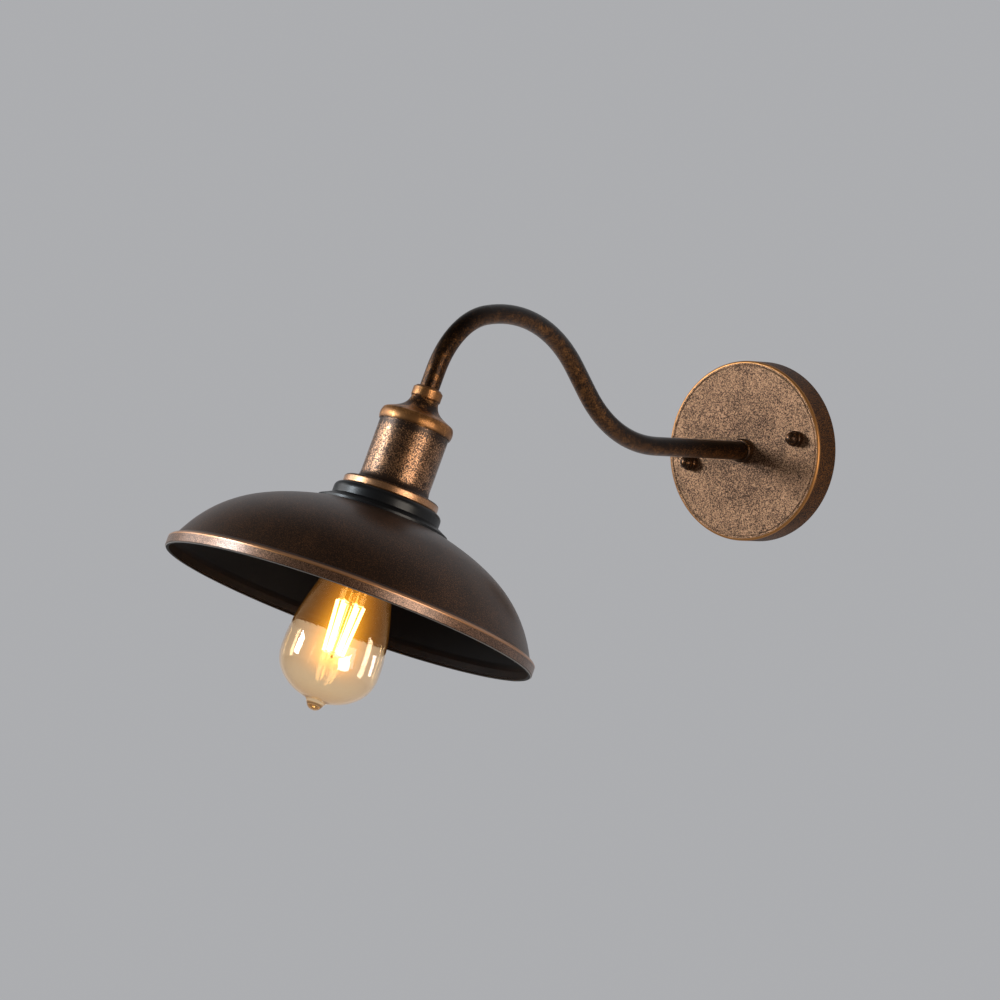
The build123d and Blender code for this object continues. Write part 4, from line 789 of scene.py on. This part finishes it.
# %% Amber glass
TIP_TO_BODY = (-69.0, -50.0)
TIP_AMBER = (0.90, 0.64, 0.34, 1)
BODY_AMBER = (0.985, 0.89, 0.72, 1)
SLANT_AMBER = (0.93, 0.76, 0.56, 1)
HALO_RISE = (-40.0, 22.0)
HALO_GLOW = (0.250, 0.084, 0.0006, 1)
CORE_RISE = (-34.0, 6.0)
CORE_GLOW = (0.460, 0.240, 0.018, 1)
LOW_VEIL = (0.060, 0.036, 0.014, 1)
STICKS_VEIL = (0.012, 0.004, 0.0002, 1)
LOW_RIM_VEIL = (0.038, 0.024, 0.015, 1)
STICKS_RIM_VEIL = (0.010, 0.005, 0.001, 1)

amber, tree, shader = new_finish("amber_glass")
slant = add_node(tree, "ShaderNodeLayerWeight")
slant.inputs["Blend"].default_value = 0.35
rise = place_group(tree, head_ruler).outputs["Rise"]
on_piece = add_node(tree, "ShaderNodeTexCoord").outputs["Object"]
streaks = noise(tree, on_piece, 30.0, 2.0, 0.5)
above_tip = smooth_step(tree, rise, *TIP_TO_BODY)
tint = mix_colour(tree, above_tip, TIP_AMBER, BODY_AMBER)
facing_us = maths(tree, "POWER", maths(tree, "SUBTRACT", 1.0, slant.outputs["Facing"]), 1.3)
by_sticks = any_band(tree, rise, [(*HALO_RISE, 14.0, 1.0)])
at_sticks = any_band(tree, rise, [(*CORE_RISE, 12.0, 1.0)])
halo = maths(tree, "MULTIPLY", by_sticks, maths(tree, "POWER", facing_us, 10.0))
core = maths(tree, "MULTIPLY", at_sticks, maths(tree, "POWER", facing_us, 34.0))
veil = mix_colour(tree, by_sticks, LOW_VEIL, STICKS_VEIL)
veil = mix_colour(tree, halo, veil, HALO_GLOW)
veil = mix_colour(tree, core, veil, CORE_GLOW)
rim_veil = mix_colour(tree, by_sticks, LOW_RIM_VEIL, STICKS_RIM_VEIL)
feed(tree, shader,
     Base_Color=mix_colour(tree, slant.outputs["Facing"], tint, SLANT_AMBER),
     Emission_Color=mix_colour(tree, facing_us, rim_veil, veil), Emission_Strength=1.0,
     Roughness=mix_value(tree, streaks, 0.0, 0.03),
     Transmission_Weight=1.0, IOR=1.5)
dress(amber, "bulb_glass")

# %% [markdown]
# The stem inside is clear glass, drawn out by hand, so it is a little uneven and cloudy.

# %% Stem glass
stem_glass, tree, shader = new_finish("stem_glass")
on_piece = add_node(tree, "ShaderNodeTexCoord").outputs["Object"]
bubbles = noise(tree, on_piece, 2.5, 2.0, 0.5)
feed(tree, shader,
     Base_Color=mix_colour(tree, bubbles, (0.96, 0.93, 0.88, 1), (0.90, 0.86, 0.78, 1)),
     Roughness=mix_value(tree, bubbles, 0.02, 0.10),
     Transmission_Weight=1.0, IOR=1.5)
dress(stem_glass, "bulb_stem")

# %% [markdown]
# ## The glow
#
# The sticks are coated with yellow phosphor. They glow almost white where we look straight at
# them and orange at their edges. The wires that hold them shine in that light where they are
# near, so they are given a glow of their own there.

# %% Glowing sticks and their wires
STICK_MIDDLE_GLOW = (1.0, 0.80, 0.42, 1)
STICK_EDGE_GLOW = (0.42, 0.16, 0.01, 1)
STICKS_RISE = (-31.5, 6.5)

glow, tree, shader = new_finish("glowing_phosphor")
slant = add_node(tree, "ShaderNodeLayerWeight")
slant.inputs["Blend"].default_value = 0.5
on_piece = add_node(tree, "ShaderNodeTexCoord").outputs["Object"]
chips = noise(tree, on_piece, 1.1, 1.0, 0.5)
feed(tree, shader,
     Emission_Color=mix_colour(tree, slant.outputs["Facing"], STICK_MIDDLE_GLOW, STICK_EDGE_GLOW),
     Emission_Strength=4.6,
     Base_Color=mix_colour(tree, chips, (0.85, 0.60, 0.20, 1), (0.95, 0.72, 0.30, 1)),
     Roughness=0.6)
dress(glow, "bulb_filaments")

warm_wire, tree, shader = new_finish("lit_support_wire")
rise = place_group(tree, head_ruler).outputs["Rise"]
near_sticks = any_band(tree, rise, [(*STICKS_RISE, 1.5, 1.0)])
feed(tree, shader,
     Emission_Color=mix_colour(tree, near_sticks, (0.02, 0.01, 0.0, 1), (1.0, 0.60, 0.20, 1)),
     Emission_Strength=3.0,
     Base_Color=(0.70, 0.62, 0.48, 1), Metallic=1.0, Roughness=0.25)
dress(warm_wire, "bulb_support_wires")

# %% [markdown]
# A small warm light among the sticks lights the inside of the shade. It hangs on the sticks, so
# it moves with the arm and the bulb. The bulb's glass and sticks throw no shadow, because a
# renderer would otherwise stop the light at them.

# %% A light among the sticks
LIGHT_RISE = -12         # mm, so below the shade's mouth

stick_light = bpy.data.lights.new("stick_light", "POINT")
stick_light.energy = 0.11
stick_light.color = (1.0, 0.52, 0.16)
stick_light.shadow_soft_size = 12 * MM
inner_light = bpy.data.objects.new("stick_light", stick_light)
inner_light.location = mouth_centre + LIGHT_RISE * MM * head_up
bpy.context.scene.collection.objects.link(inner_light)
inner_light.parent = nodes["bulb_filaments"]
inner_light.visible_camera = False
inner_light.visible_glossy = False
inner_light.visible_transmission = False
for clear_piece in ("bulb_glass", "bulb_stem", "bulb_filaments"):
    nodes[clear_piece].visible_shadow = False
print("stick light at", [round(part, 3) for part in inner_light.location])
